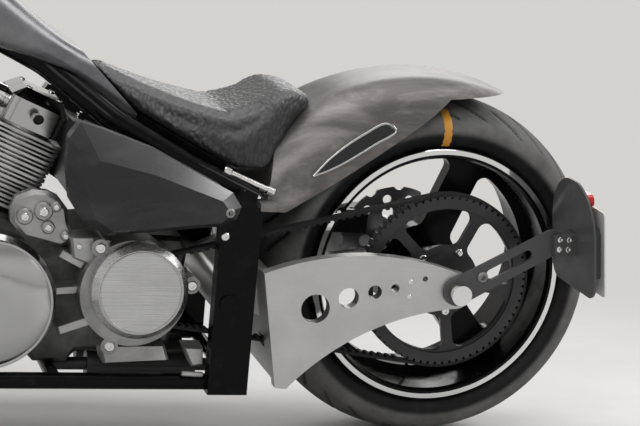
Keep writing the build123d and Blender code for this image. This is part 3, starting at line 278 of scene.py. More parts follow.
def polished_alloy(name, colour, roughness=0.09, haze=0.12):
    """Polished alloy or chrome with faint haze and fine wipe marks."""
    made = Finish(name, colour, metallic=1.0, roughness=roughness)
    cloud = made.noise(14.0, 6, 0.62)
    wipes = made.noise(1.0, 3, 0.5, (30, 30, 160))
    marks = made.math("ADD", cloud, made.math("MULTIPLY", wipes, 0.35))
    made.roughness(made.range(marks, 0.45, 0.95, roughness, roughness + haze))
    made.colour(made.mix(made.range(cloud, 0.5, 0.8, 0.0, 0.35), colour, darker(colour, 0.25)))
    return made


def cast_alloy(name, colour, grain=420.0):
    """Sand-cast alloy: fine grain, darker in the hollows of a slow cloud."""
    made = Finish(name, colour, metallic=0.9, roughness=0.42)
    sand = made.noise(grain, 3, 0.6)
    cloud = made.noise(12.0, 5, 0.6)
    made.colour(made.mix(made.range(cloud, 0.3, 0.75), darker(colour, 0.4), lighter(colour, 0.08)))
    made.roughness(made.range(sand, 0.3, 0.7, 0.34, 0.52))
    made.bump(sand, 0.25, 0.0006)
    return made


def gloss_black(name, colour, roughness=0.16, dust=0.06):
    """Gloss black paint under a thin clear coat, with a little dust."""
    made = Finish(name, colour, roughness=roughness, coat=0.02, coat_roughness=0.06, specular=0.09)
    dusting = made.noise(30.0, 6, 0.7)
    made.colour(made.mix(made.range(dusting, 0.52, 0.85, 0.0, 0.5), colour, lighter(colour, dust * 0.35)))
    made.roughness(made.range(dusting, 0.35, 0.8, roughness, roughness + 0.18))
    return made


def satin_black(name, colour, roughness=0.38):
    """Satin black coating with fine orange-peel texture."""
    made = Finish(name, colour, roughness=roughness, specular=0.35)
    peel = made.noise(700.0, 2, 0.5)
    cloud = made.noise(18.0, 5, 0.65)
    made.colour(made.mix(made.range(cloud, 0.45, 0.8, 0.0, 0.6), colour, lighter(colour, 0.02)))
    made.roughness(made.range(cloud, 0.3, 0.8, roughness - 0.06, roughness + 0.14))
    made.bump(peel, 0.1, 0.0003)
    return made


def body_paint(name, dark, light, share, roughness=0.4):
    """Metallic body paint, hand rubbed: dark and bright clouds along the panel, under a thin clear coat."""
    made = Finish(name, dark, metallic=0.6, roughness=roughness, coat=0.05, coat_roughness=0.15, specular=0.2)
    clouds = made.noise(7.0, 7, 0.66, (0.8, 1.0, 1.5), 0.6)
    streaks = made.noise(1.0, 4, 0.6, (16, 40, 60), 0.3)
    flake = made.noise(1500.0, 1, 0.5)
    rubbed = made.math("MULTIPLY", made.range(streaks, 0.5, 0.8), 0.35)
    worn = made.math("ADD", made.range(clouds, 0.4, 0.74), rubbed)
    body = made.mix(made.math("MULTIPLY", worn, share), dark, light)
    made.colour(made.mix(made.range(flake, 0.45, 0.75, 0.0, 0.2), body, lighter(light, 0.06)))
    made.roughness(made.range(clouds, 0.3, 0.75, roughness - 0.06, roughness + 0.1))
    made.bump(streaks, 0.05, 0.0006)
    return made


def painted_top_light(made, share, low=0.2, high=0.7):
    """Paints a finish brighter on the faces that look up on the upright machine: a painted highlight from
    above, with the faces that look down left in painted shade.
    """
    normal = made.node("ShaderNodeNewGeometry").outputs["Normal"]
    up = made.node("ShaderNodeVectorMath", {"operation": "DOT_PRODUCT"})
    made.set(up, 0, normal)
    made.set(up, 1, UPRIGHT.to_3x3() @ Vector((0, 0, 1)))
    before = made.shader.inputs["Base Color"].links[0].from_socket
    # Colour of the painted highlight on the faces that look up
    bright = lighter(made.material.diffuse_color[:3], share)
    made.colour(made.mix(made.range(up.outputs["Value"], low, high), before, bright))
    return made


def rubber_finish(name, colour, dust, shine=0.5):
    """Tyre rubber: nearly black, with a paler layer where the mesh says so, partly road dust and partly a
    painted sheen, and a faint moulded grain.
    """
    made = Finish(name, colour, roughness=shine, specular=0.18)
    grain = made.noise(900.0, 2, 0.5)
    cloud = made.noise(20.0, 6, 0.7)
    dust_and_sheen = made.node("ShaderNodeAttribute", {"attribute_name": "dust"}).outputs["Fac"]
    layer = made.math("MULTIPLY", dust_and_sheen, made.range(cloud, 0.2, 0.7, 0.55, 1.0))
    faint = made.mix(made.range(cloud, 0.42, 0.8, 0.0, 0.7), colour, lighter(colour, 0.012))
    # The paler layer on the tread: partly road dust, partly a painted sheen of light on the rubber
    made.colour(made.mix(layer, faint, dust))
    made.roughness(made.range(dust_and_sheen, 0.0, 1.0, shine, 0.75))
    made.bump(grain, 0.15, 0.0004)
    return made


def turned_steel(name, colour, centre):
    """Ground disc with circular tool lines about a wheel's centre."""
    made = Finish(name, colour, metallic=1.0, roughness=0.3)
    rings = made.node(
        "ShaderNodeTexWave",
        {"wave_type": "RINGS", "rings_direction": "Y"},
        Vector=made.place((1, 1, 1), tuple(centre)),
        Scale=160.0,
        Distortion=1.2,
        Detail=3.0,
    ).outputs["Fac"]
    heat = made.noise(16.0, 4, 0.6)
    tone = made.mix(made.range(rings, 0.1, 0.9), darker(colour, 0.25), lighter(colour, 0.1))
    made.colour(made.mix(made.range(heat, 0.5, 0.8, 0.0, 0.4), tone, darker(colour, 0.5)))
    made.bump(rings, 0.15, 0.0003)
    return made


def leather_finish(name, colour):
    """Embossed leather: worn shine on the scales, matt in the grooves, which are painted darker as painted
    shade, with fine pores.
    """
    made = Finish(name, colour, roughness=0.42, specular=0.6)
    raised = made.node("ShaderNodeAttribute", {"attribute_name": "emboss"}).outputs["Fac"]
    pores = made.noise(1300.0, 2, 0.5)
    cloud = made.noise(22.0, 5, 0.6)
    # Painted shade: the grooves between the scales are painted darker than the scales
    shade = made.mix(made.range(raised, 0.15, 0.9), darker(colour, 0.5), lighter(colour, 0.004))
    made.colour(made.mix(made.range(cloud, 0.45, 0.8, 0.0, 0.4), shade, lighter(colour, 0.012)))
    made.roughness(made.range(raised, 0.1, 0.9, 0.55, 0.34))
    made.bump(pores, 0.2, 0.0003)
    return made


def clear_lens(name, colour, alpha):
    """Moulded lamp lens."""
    made = Finish(name, colour, roughness=0.08)
    made.set(made.shader, "Alpha", alpha)
    ribs = made.noise(240.0, 2, 0.4, (1, 1, 0.1))
    made.bump(ribs, 0.3, 0.0008)
    made.roughness(made.range(ribs, 0.3, 0.7, 0.05, 0.14))
    return made


# Mesh building on the upright machine

# Edges that bend more than this stay sharp
SHARP_EDGE = math.radians(38)


def skin(mesh_data, rows, round_row=True, round_all=False):
    """Faces between rows of points, each row and the whole set closed to a ring if so told."""
    pairs = list(zip(rows, rows[1:]))
    if round_all:
        pairs.append((rows[-1], rows[0]))
    for here, there in pairs:
        count = len(here)
        for k in range(count if round_row else count - 1):
            m = (k + 1) % count
            mesh_data.faces.new((here[k], here[m], there[m], there[k]))


def circle(count):
    """Sine and cosine of even steps round a circle."""
    for n in range(count):
        angle = math.tau * n / count
        yield math.sin(angle), math.cos(angle)


def piece(name, mesh_data, body, finish, sharp=True, replaces=(), merge=True):
    """Parks a bmesh drawn upright in mm, gives it a finish and lets it ride on a body."""
    if merge:
        bmesh.ops.remove_doubles(mesh_data, verts=mesh_data.verts, dist=0.01)
        bmesh.ops.recalc_face_normals(mesh_data, faces=mesh_data.faces)
    mesh_data.transform(PARKED)
    mesh = bpy.data.meshes.new(name)
    mesh_data.to_mesh(mesh)
    mesh_data.free()
    return settle(name, mesh, body, finish, sharp, replaces)


def wear(mesh, finish):
    """Gives a mesh one finish and no other."""
    mesh.materials.clear()
    mesh.materials.append(FINISH[finish])


def settle(name, mesh, body, finish, sharp=True, replaces=()):
    """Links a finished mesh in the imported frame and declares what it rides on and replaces."""
    made = bpy.data.objects.new(name, mesh)
    bpy.context.scene.collection.objects.link(made)
    if finish is not None:
        wear(mesh, finish)
    mesh.shade_smooth()
    if sharp:
        mesh.set_sharp_from_angle(angle=SHARP_EDGE)
    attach(made, body)
    if replaces:
        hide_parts(*replaces)
    return made


def lathe(mesh_data, outline, centre, steps=96, closed=True, axis=(0, 1, 0)):
    """Turns an outline of (distance along, radius) about an axis; an open outline isn't joined end to end."""
    axis = Vector(axis).normalized()
    turn = Vector((0, 1, 0)).rotation_difference(axis)
    centre = Vector(centre)
    rows = [
        [mesh_data.verts.new(centre + turn @ Vector((r * sine, y, r * cosine))) for y, r in outline]
        for sine, cosine in circle(steps)
    ]
    skin(mesh_data, rows, closed, True)


def bar(mesh_data, start, end, radius, sides=16, bevel=0.0):
    """Round bar with chamfered ends."""
    start, end = Vector(start), Vector(end)
    run = end - start
    turn = Vector((0, 0, 1)).rotation_difference(run)
    length = run.length
    rings = [(0, radius - bevel), (bevel, radius), (length - bevel, radius), (length, radius - bevel)]
    if bevel == 0:
        rings = [(0, radius), (length, radius)]
    loops = []
    for along, r in rings:
        places = (Vector((r * cosine, r * sine, along)) for sine, cosine in circle(sides))
        loops.append([mesh_data.verts.new(start + turn @ place) for place in places])
    skin(mesh_data, loops)
    cap_ends(mesh_data, loops)


def cap_ends(mesh_data, loops):
    """Closes a run of rings at both ends."""
    mesh_data.faces.new(list(reversed(loops[0])))
    mesh_data.faces.new(loops[-1])


def hose(mesh_data, points, radius, sides=10, steps=10):
    """Smooth round run through points, as for a raised edge."""
    path = smooth_path([Vector(p) for p in points], steps)
    up = None
    loops = []
    for n, point in enumerate(path):
        ahead = path[min(n + 1, len(path) - 1)] - path[max(n - 1, 0)]
        ahead.normalize()
        if up is None:
            up = ahead.orthogonal().normalized()
        up = (up - ahead * up.dot(ahead)).normalized()
        across = ahead.cross(up)
        ways = [up * cosine + across * sine for sine, cosine in circle(sides)]
        loops.append([mesh_data.verts.new(point + way * radius) for way in ways])
    skin(mesh_data, loops)
    cap_ends(mesh_data, loops)


def smooth_path(points, steps):
    """Points along a smooth curve through the given ones."""
    if len(points) < 3:
        return points
    path = []
    for n in range(len(points) - 1):
        p0 = points[max(n - 1, 0)]
        p1, p2 = points[n], points[n + 1]
        p3 = points[min(n + 2, len(points) - 1)]
        for k in range(steps):
            t = k / steps
            bend = (2 * p0 - 5 * p1 + 4 * p2 - p3) * t * t
            twist = (3 * p1 - p0 - 3 * p2 + p3) * t**3
            path.append(0.5 * (2 * p1 + (p2 - p0) * t + bend + twist))
    path.append(points[-1])
    return path


def slab(mesh_data, outline, y_from, y_to, bevel):
    """Flat plate from a side-view outline of (x, z), with a chamfer round its outer face."""
    rings = []
    centre = Vector((sum(x for x, _ in outline) / len(outline), sum(z for _, z in outline) / len(outline)))
    step = math.copysign(bevel, y_to - y_from)
    for y, inset in ((y_from, 0.0), (y_to - step, 0.0), (y_to, bevel)):
        loop = []
        for x, z in outline:
            point = Vector((x, z))
            point += (centre - point).normalized() * inset
            loop.append(mesh_data.verts.new((point.x, y, point.y)))
        rings.append(loop)
    skin(mesh_data, rings)
    cap_ends(mesh_data, rings)


# Wheels

# One row for each wheel: centre, tyre radius, half width, shoulder half width and drop, sidewall foot half
# width and radius, bead radius, steps round, grooves' reach from the middle, their slant and width, the rim
# lip's radius, half width and height, and the radius from which the tread has road dust and a painted sheen.
TYRES = {
    "rear": dict(centre=(0, 0, REAR_RADIUS), radius=330, half=126, shoulder=108, drop=27, foot=109,
                 foot_radius=246, bead=232.5, steps=640, groove_from=22, groove_to=116, slant=96, width=12,
                 lip_radius=243, lip_half=121, lip=11, dust_and_sheen=270),
    "front": dict(centre=tuple(FRONT_AT), radius=345, half=62, shoulder=46, drop=17, foot=44, foot_radius=284,
                  bead=270.5, steps=600, groove_from=10, groove_to=50, slant=40, width=8,
                  lip_radius=281, lip_half=54, lip=8, dust_and_sheen=318),
}
# Points across a tyre's crown and down a wall, the raised lines on a wall as shares of its depth with their
# half width and height, the bead's width, and the depth over which the dust and painted sheen set in
CROWN_POINTS, WALL_POINTS = 49, 19
WALL_LINES, LINE_HALF, LINE_HEIGHT = (0.42, 0.66, 0.86), 0.05, 0.9
BEAD_WIDTH = 14
DUST_SHEEN_DEPTH = 7
# The amber band on the rear tyre's left wall: turn from straight ahead in degrees, width, and radii
BAND_TURN, BAND_WIDTH, BAND_RADII = 88.2, 16.0, (247.0, 314.0)
# Its strips, how far it stands off at its edges and between them, and the place from which it stands off
BAND_STRIPS, BAND_EDGE, BAND_LIFT = 6, 0.1, 0.9
BAND_FROM = (TYRES["rear"]["foot"] * 0.7, 265)
# Rim lips: rise, chamfers outside and inside, how far they stand out and reach in
LIP_RISE, LIP_OUTER, LIP_INNER, LIP_OUT, LIP_IN = 0.6, 1.6, 1.2, 0.8, 6
# Valve at the foot of the wheel, so far inside the bead: bars of start, end, radius and chamfer
VALVE_INSIDE = 12
VALVE = [((0, 0, 0), (0, 6, 26), 3.4, 0.6), ((0, 6, 26), (0, 8, 36), 4.6, 0.8)]


def arc_through(a, b, c, count):
    """Points on the arc from a through b to c, ends included."""
    (ax, ay), (bx, by), (cx, cy) = a, b, c
    d = 2 * (ax * (by - cy) + bx * (cy - ay) + cx * (ay - by))
    ux = ((ax**2 + ay**2) * (by - cy) + (bx**2 + by**2) * (cy - ay) + (cx**2 + cy**2) * (ay - by)) / d
    uy = ((ax**2 + ay**2) * (cx - bx) + (bx**2 + by**2) * (ax - cx) + (cx**2 + cy**2) * (bx - ax)) / d
    start = math.atan2(ay - uy, ax - ux)
    mid = math.atan2(by - uy, bx - ux)
    end = math.atan2(cy - uy, cx - ux)
    sweep = (end - start) % (2 * math.pi)
    if (mid - start) % (2 * math.pi) > sweep:
        sweep -= 2 * math.pi
    r = math.hypot(ax - ux, ay - uy)
    angles = (start + sweep * n / (count - 1) for n in range(count))
    return [(ux + r * math.cos(angle), uy + r * math.sin(angle)) for angle in angles]


def groove_depth(tyre, angle, y, count):
    """How deep the tread is cut at a place, from 0 to 1."""
    reach = (abs(y) - tyre["groove_from"]) / (tyre["groove_to"] - tyre["groove_from"])
    if reach < 0 or reach > 1:
        return 0.0
    pitch = 2 * math.pi * tyre["radius"] / count
    along = angle * tyre["radius"] + tyre["slant"] * reach**1.4
    if y < 0:
        along += pitch / 2
    cell = math.floor(along / pitch + 0.5)
    off = abs(along - cell * pitch)
    start, end = (0.0, 0.9) if cell % 2 == 0 else (0.34, 1.0)
    if reach < start or reach > end:
        return 0.0
    taper = min(1.0, (reach - start) / 0.16, (end - reach) / 0.16)
    half = tyre["width"] / 2 * (0.5 + 0.5 * taper)
    return max(0.0, min(1.0, (half - off) / 2.0)) * min(1.0, taper * 1.6)


def tyre_section(tyre):
    """Half sidewalls and crown of a tyre as (across, radius), from the right foot to the left one."""
    shoulder_r = tyre["radius"] - tyre["drop"]
    widest = (shoulder_r + tyre["bead"]) / 2 + 6
    right, left = (-tyre["shoulder"], shoulder_r), (tyre["shoulder"], shoulder_r)
    crown = arc_through(right, (0, tyre["radius"]), left, CROWN_POINTS)
    wall = arc_through(left, (tyre["half"], widest), (tyre["foot"], tyre["foot_radius"]), WALL_POINTS)
    return [(-y, r) for y, r in reversed(wall)][:-1] + crown + wall[1:]


def make_tyre(which, sizes):
    """Tyre with slanted shoulder grooves, a tread marked with road dust and a painted sheen, and raised lines
    on its walls.
    """
    tyre = TYRES[which]
    grooves = sizes.rear_grooves if which == "rear" else sizes.front_grooves
    shoulder_r = tyre["radius"] - tyre["drop"]
    foot, bead = tyre["foot"], tyre["bead"]
    inner = foot - BEAD_WIDTH
    outline = []
    for y, r in tyre_section(tyre):
        down = (shoulder_r - r) / (shoulder_r - tyre["foot_radius"])
        rib = max((1 - abs(down - line) / LINE_HALF) for line in WALL_LINES) if down > LINE_HALF else 0
        outline.append((y + math.copysign(max(rib, 0) * LINE_HEIGHT, y), r))
    outside = len(outline)
    outline += [(foot, bead), (inner, bead), (-inner, bead), (-foot, bead)]
    depth = sizes.tread_depth / MM
    made = bmesh.new()
    dust = made.verts.layers.float.new("dust")
    centre = Vector(tyre["centre"])
    rows = []
    for n in range(tyre["steps"]):
        angle = 2 * math.pi * n / tyre["steps"]
        row = []
        for k, (y, r) in enumerate(outline):
            cut = groove_depth(tyre, angle, y, grooves) if k < outside else 0.0
            r_cut = r - cut * depth
            vert = made.verts.new(centre + Vector((r_cut * math.sin(angle), y, r_cut * math.cos(angle))))
            # Paler layer on the tread outside the grooves: partly road dust, partly a painted sheen
            on_tread = min(1.0, max(0.0, (r - tyre["dust_and_sheen"]) / DUST_SHEEN_DEPTH))
            vert[dust] = on_tread * (1 - min(1.0, 1.6 * cut))
            row.append(vert)
        rows.append(row)
    skin(made, rows, True, True)
    name, body = f"{which}_tyre", f"{which}_wheel"
    piece(f"{name}_tread", made, body, "tyre rubber", sharp=False, replaces=(name,))


def make_band():
    """Amber band laid over the rear tyre's left wall and shoulder."""
    tyre = TYRES["rear"]
    line = [(y, r) for y, r in tyre_section(tyre) if y > 0 and BAND_RADII[0] <= r <= BAND_RADII[1]]
    made = bmesh.new()
    rows = []
    for n in range(BAND_STRIPS + 1):
        row = []
        for y, r in line:
            angle = math.radians(90 - BAND_TURN) + BAND_WIDTH * (n / BAND_STRIPS - 0.5) / r
            lift = BAND_LIFT if 0 < n < BAND_STRIPS else BAND_EDGE
            out = (Vector((y, r)) - Vector(BAND_FROM)).normalized() * lift
            place = Vector(((r + out.y) * math.sin(angle), y + out.x, (r + out.y) * math.cos(angle)))
            row.append(made.verts.new(Vector(tyre["centre"]) + place))
        rows.append(row)
    skin(made, rows, False)
    piece("rear_tyre_band", made, "rear_wheel", "amber band", merge=False)


class CHOPPER_OT_tyres(bpy.types.Operator):
    """Make both tyres with their tread, and the amber band"""

    bl_idname = "chopper.tyres"
    bl_label = "Tyres"

    def execute(self, context):
        for which in TYRES:
            make_tyre(which, context.scene.chopper_sizes)
        make_band()
        return {"FINISHED"}


class CHOPPER_OT_rim_lips(bpy.types.Operator):
    """Make the polished lips of both rims and their valves"""

    bl_idname = "chopper.rim_lips"
    bl_label = "Rim lips"

    def execute(self, context):
        for which, tyre in TYRES.items():
            made = bmesh.new()
            top, low = tyre["lip_radius"] + LIP_RISE, tyre["lip_radius"] - tyre["lip"]
            for s in (-1, 1):
                face = s * (tyre["lip_half"] + LIP_OUT)
                back = s * (tyre["lip_half"] - LIP_IN)
                step = s * LIP_OUTER
                outer = [(back, top), (face - step, top), (face, top - LIP_OUTER)]
                inner = [(face, low + LIP_INNER), (face - step, low), (back, low)]
                lathe(made, outer + inner, tyre["centre"], 192)
            piece(f"{which}_rim_lips", made, f"{which}_wheel", "chrome")
            valve = bmesh.new()
            foot = Vector(tyre["centre"]) + Vector((0, 0, VALVE_INSIDE - tyre["bead"]))
            for start, end, radius, bevel in VALVE:
                bar(valve, foot + Vector(start), foot + Vector(end), radius, 12, bevel)
            piece(f"{which}_valve", valve, f"{which}_wheel", "satin black")
        return {"FINISHED"}


# Finishes on the solids


class CHOPPER_OT_finishes(bpy.types.Operator):
    """Make every finish and put it on the solids"""

    bl_idname = "chopper.finishes"
    bl_label = "Finishes"

    def execute(self, context):
        c = context.scene.chopper_colours
        alloy = tuple(c.aluminium)
        # The tread's dust colour also paints its sheen
        rubber_finish("tyre rubber", tuple(c.rubber), tuple(c.dust))
        rubber_finish("belt rubber", lighter(c.rubber, 0.01), tuple(c.dust), 0.62)
        rubber_finish("grip rubber", tuple(c.rubber), tuple(c.dust), 0.7)
        gloss_black("rim black", tuple(c.black), 0.14)
        gloss_black("frame black", tuple(c.black), 0.12)
        satin_black("satin black", lighter(c.black, 0.012))
        satin_black("pulley black", lighter(c.black, 0.02), 0.34)
        satin_black("plate black", lighter(c.black, 0.06), 0.42)
        satin_black("exhaust black", lighter(c.black, 0.01), 0.46)
        brushed_alloy("arm alloy", darker(alloy, 0.12), (6, 700, 700), 0.42, 0.07)
        brushed_alloy("cover alloy", darker(alloy, 0.1), (6, 600, 600), 0.28, 0.18)
        polished_alloy("polished alloy", darker(alloy, 0.28), 0.12)
        polished_alloy("chrome", lighter(alloy, 0.3), 0.05, 0.08)
        cast_alloy("engine casting", darker(alloy, 0.9))
        cast_alloy("flange casting", darker(alloy, 0.5))
        cast_alloy("case casting", darker(alloy, 0.25), 300.0)
        cast_alloy("fin casting", darker(alloy, 0.08), 600.0)
        cast_alloy("control casting", darker(alloy, 0.45))
        body_paint("body paint", tuple(c.paint), tuple(c.paint_light), 0.75)
        body_paint("tank paint", tuple(c.tank), lighter(c.tank, 0.2), 0.5, 0.32)
        # Painted highlight: the oil tank's cover is painted lighter on its up-facing bevel
        painted_top_light(body_paint("cover paint", tuple(c.gunmetal), lighter(c.gunmetal, 0.06), 0.4, 0.3), 0.2)
        # Painted light and shade: the seat is painted lighter on top, fading to the plain dark leather on
        # faces that look down
        painted_top_light(leather_finish("seat leather", tuple(c.leather)), 0.06, -0.1, 0.75)
        turned_steel("rear disc steel", (0.3, 0.3, 0.31), REAR_AXLE)
        turned_steel("front disc steel", (0.36, 0.36, 0.37), FRONT_AXLE)
        satin_black("bare plate", (0.62, 0.62, 0.6), 0.4)
        clear_lens("red lens", (0.5, 0.01, 0.01), 1.0)
        clear_lens("lamp glass", (0.8, 0.82, 0.84), 0.4)
        satin_black("amber band", tuple(c.amber), 0.42)
        finishes = {
            "tyre rubber": ["rear_tyre", "front_tyre"],
            "rim black": ["rear_rim", "front_rim"],
            "pulley black": ["rear_pulley"],
            "rear disc steel": ["rear_brake_disc"],
            "front disc steel": ["front_brake_disc"],
            "belt rubber": ["drive_belt"],
            "arm alloy": ["swingarm"],
            "chrome": ["rear_axle", "front_axle", "air_cleaner", "fuel_cap", "handlebar", "levers",
                       "fork_tubes", "headlamp"],
            "frame black": ["frame", "stand_bracket", "side_stand", "seat_pan", "pivot_bolt"],
            "satin black": ["shock_absorbers", "rear_caliper", "front_caliper"],
            "plate black": ["plate_bracket"],
            "engine casting": ["crankcase"],
            "flange casting": ["gearbox_flange"],
            "fin casting": ["cylinder_rear", "cylinder_front"],
            "polished alloy": ["primary_case", "clutch_dome", "head_rear", "head_front", "risers",
                               "fork_sliders", "lower_tree", "upper_tree"],
            "cover alloy": ["gearbox_cover"],
            "exhaust black": ["exhaust"],
            "cover paint": ["oil_tank"],
            "body paint": ["rear_fender"],
            "tank paint": ["fuel_tank", "front_fender"],
            "seat leather": ["seat"],
            "bare plate": ["number_plate"],
            "red lens": ["tail_lamp"],
            "control casting": ["foot_control_left", "foot_control_right"],
            "grip rubber": ["grips"],
        }
        covered = {node for names in finishes.values() for node in names}
        missing = set(frame["nodes"]) - covered
        if missing:
            raise RuntimeError(f"solids with no finish: {sorted(missing)}")
        for finish, names in finishes.items():
            for name in names:
                wear(frame["nodes"][name].data, finish)
        return {"FINISHED"}


# Seat

# The cover starts a little smaller than the solid, drawn in about this place. A point swells so far at most.
SEAT_CENTRE, SEAT_START, SEAT_CAP = (450, 0, 600), 0.992, 7.0
CLOTH_PRESSURE, CLOTH_FRAMES = 4, 20
# Height of the embossing from groove to scale
EMBOSS = 1.2


def upright_copy(node):
    """Merged copy of a solid's mesh, drawn upright in mm."""
    made = bmesh.new()
    made.from_mesh(frame["nodes"][node].data)
    bmesh.ops.remove_doubles(made, verts=made.verts, dist=0.00005)
    made.transform(PARKED.inverted())
    return made


def scale_height(point, size):
    """Height of the embossed leather at a point of the upright seat, from 0 in a groove to 1 on a scale."""
    x, y, z = point
    row = math.floor(x / size)
    cell = Vector((x / size, (y + (row % 2) * size * 0.5) / (size * 1.5), z / (size * 2.2)))
    wobble = noise.noise_vector(Vector((x, y, z)) / (size * 2.2)) * 0.18
    near = noise.voronoi(cell + wobble, distance_metric="DISTANCE")[0]
    return max(0.0, min(1.0, (near[1] - near[0]) / 0.34))


class CHOPPER_OT_seat(bpy.types.Operator):
    """Make the padded seat with its embossed leather"""

    bl_idname = "chopper.seat"
    bl_label = "Seat"

    def execute(self, context):
        sizes = context.scene.chopper_sizes
        start = upright_copy("seat")
        centre = Vector(SEAT_CENTRE)
        for vert in start.verts:
            vert.co = centre + (vert.co - centre) * SEAT_START
        start.transform(PARKED)
        mesh = bpy.data.meshes.new("seat_cover")
        start.to_mesh(mesh)
        start.free()
        seat = bpy.data.objects.new("seat_cover", mesh)
        context.scene.collection.objects.link(seat)
        context.view_layer.objects.active = seat
        for selected in context.selected_objects:
            selected.select_set(False)
        seat.select_set(True)
        mesh.remesh_voxel_size = sizes.seat_voxel
        mesh.use_remesh_preserve_volume = True
        bpy.ops.object.voxel_remesh()
        soften = seat.modifiers.new("soften", "SMOOTH")
        soften.factor = 0.6
        soften.iterations = 60
        bpy.ops.object.modifier_apply(modifier="soften")
        self.fill(context, seat)
        divide = seat.modifiers.new("divide", "SUBSURF")
        divide.levels = divide.render_levels = 1
        bpy.ops.object.modifier_apply(modifier="divide")
        self.emboss(seat, sizes)
        wear(seat.data, "seat leather")
        seat.data.shade_smooth()
        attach(seat, "chassis")
        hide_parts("seat")
        return {"FINISHED"}

    def fill(self, context, seat):
        """Swells the cover with cloth pressure, held where it rests, and caps how far a point moves."""
        rest = [vert.co.copy() for vert in seat.data.vertices]
        held = seat.vertex_groups.new(name="held")
        low = [v.index for v in seat.data.vertices if v.normal.z < -0.55]
        held.add(low, 1.0, "REPLACE")
        cloth = seat.modifiers.new("filling", "CLOTH")
        cloth.settings.use_pressure = True
        cloth.settings.uniform_pressure_force = CLOTH_PRESSURE
        cloth.settings.vertex_group_mass = "held"
        cloth.settings.effector_weights.gravity = 0
        cloth.point_cache.frame_start = 1
        cloth.point_cache.frame_end = CLOTH_FRAMES
        for number in range(1, CLOTH_FRAMES + 1):
            context.scene.frame_set(number)
        evaluated = seat.evaluated_get(context.evaluated_depsgraph_get())
        swollen = [vert.co.copy() for vert in evaluated.data.vertices]
        seat.modifiers.remove(cloth)
        context.scene.frame_set(1)
        cap = SEAT_CAP * MM
        for vert, before, after in zip(seat.data.vertices, rest, swollen):
            move = after - before
            if move.length > cap:
                move *= cap / move.length
            vert.co = before + move
        seat.vertex_groups.remove(held)

    def emboss(self, seat, sizes):
        """Raises the leather scales and sinks the grooves between them."""
        mesh = seat.data
        size = sizes.scale_size / MM
        back = PARKED.inverted()
        heights = mesh.attributes.new("emboss", "FLOAT", "POINT")
        normals = [vert.normal.copy() for vert in mesh.vertices]
        values = []
        for vert, normal in zip(mesh.vertices, normals):
            point = back @ vert.co
            height = scale_height(point, size)
            vert.co += normal * (height * EMBOSS - EMBOSS / 2) * MM
            values.append(height)
        heights.data.foreach_set("value", values)


# Fasteners and belt teeth, by geometry nodes


class Nodes(TreeBuilder):
    """Builds one geometry node group with named inputs."""

    def __init__(self, name, inputs):
        super().__init__(bpy.data.node_groups.new(name, "GeometryNodeTree"))
        self.tree.is_modifier = True
        self.tree.interface.new_socket("Geometry", in_out="INPUT", socket_type="NodeSocketGeometry")
        for label, kind in inputs.items():
            self.tree.interface.new_socket(label, in_out="INPUT", socket_type=kind)
        self.tree.interface.new_socket("Geometry", in_out="OUTPUT", socket_type="NodeSocketGeometry")
        self.inputs = self.tree.nodes.new("NodeGroupInput").outputs
        self.output = self.tree.nodes.new("NodeGroupOutput").inputs[0]

    def finish(self, instances):
        """Makes the instances real, gives them their finish and sends them out."""
        real = self.node("GeometryNodeRealizeInstances", Geometry=instances)
        shown = self.node("GeometryNodeSetMaterial", Geometry=real.outputs[0], Material=self.inputs["Finish"])
        self.tree.links.new(shown.outputs[0], self.output)
        return self.tree


def screw_nodes():
    """Cap screws with a socket, one on each point, facing along its attribute and turned at random."""
    group = Nodes(
        "Cap screws",
        {
            "Radius": "NodeSocketFloat",
            "Height": "NodeSocketFloat",
            "Seed": "NodeSocketInt",
            "Finish": "NodeSocketMaterial",
        },
    )
    head = group.node(
        "GeometryNodeMeshCylinder", Vertices=18, Radius=group.inputs["Radius"], Depth=group.inputs["Height"]
    )
    rim = group.node("GeometryNodeExtrudeMesh", Mesh=head.outputs["Mesh"], Selection=head.outputs["Top"])
    group.set(rim, "Offset Scale", group.math("MULTIPLY", group.inputs["Height"], 0.22))
    small = group.node(
        "GeometryNodeScaleElements", Geometry=rim.outputs["Mesh"], Selection=rim.outputs["Top"], Scale=0.84
    )
    ring = group.node("GeometryNodeExtrudeMesh", Mesh=small.outputs[0], Selection=rim.outputs["Top"])
    group.set(ring, "Offset Scale", 0.0)
    mouth = group.node(
        "GeometryNodeScaleElements", Geometry=ring.outputs["Mesh"], Selection=ring.outputs["Top"], Scale=0.6
    )
    socket = group.node("GeometryNodeExtrudeMesh", Mesh=mouth.outputs[0], Selection=ring.outputs["Top"])
    group.set(socket, "Offset Scale", group.math("MULTIPLY", group.inputs["Height"], -0.7))
    facing = group.node("GeometryNodeInputNamedAttribute", {"data_type": "FLOAT_VECTOR"}, Name="facing")
    size = group.node("GeometryNodeInputNamedAttribute", {"data_type": "FLOAT"}, Name="size")
    aligned = group.node("FunctionNodeAlignRotationToVector", {"axis": "Z"}, Vector=facing.outputs[0])
    chance = group.node("FunctionNodeRandomValue", {"data_type": "FLOAT"}, Seed=group.inputs["Seed"])
    angle = group.math("MULTIPLY", chance.outputs[1], math.tau)
    twist = group.node("FunctionNodeAxisAngleToRotation", Angle=angle)
    turned = group.node(
        "FunctionNodeRotateRotation", {"rotation_space": "LOCAL"}, Rotation=aligned.outputs[0]
    )
    group.set(turned, "Rotate By", twist.outputs[0])
    placed = group.node(
        "GeometryNodeInstanceOnPoints",
        Points=group.inputs["Geometry"],
        Instance=socket.outputs["Mesh"],
        Rotation=turned.outputs[0],
        Scale=size.outputs[0],
    )
    return group.finish(placed.outputs[0])


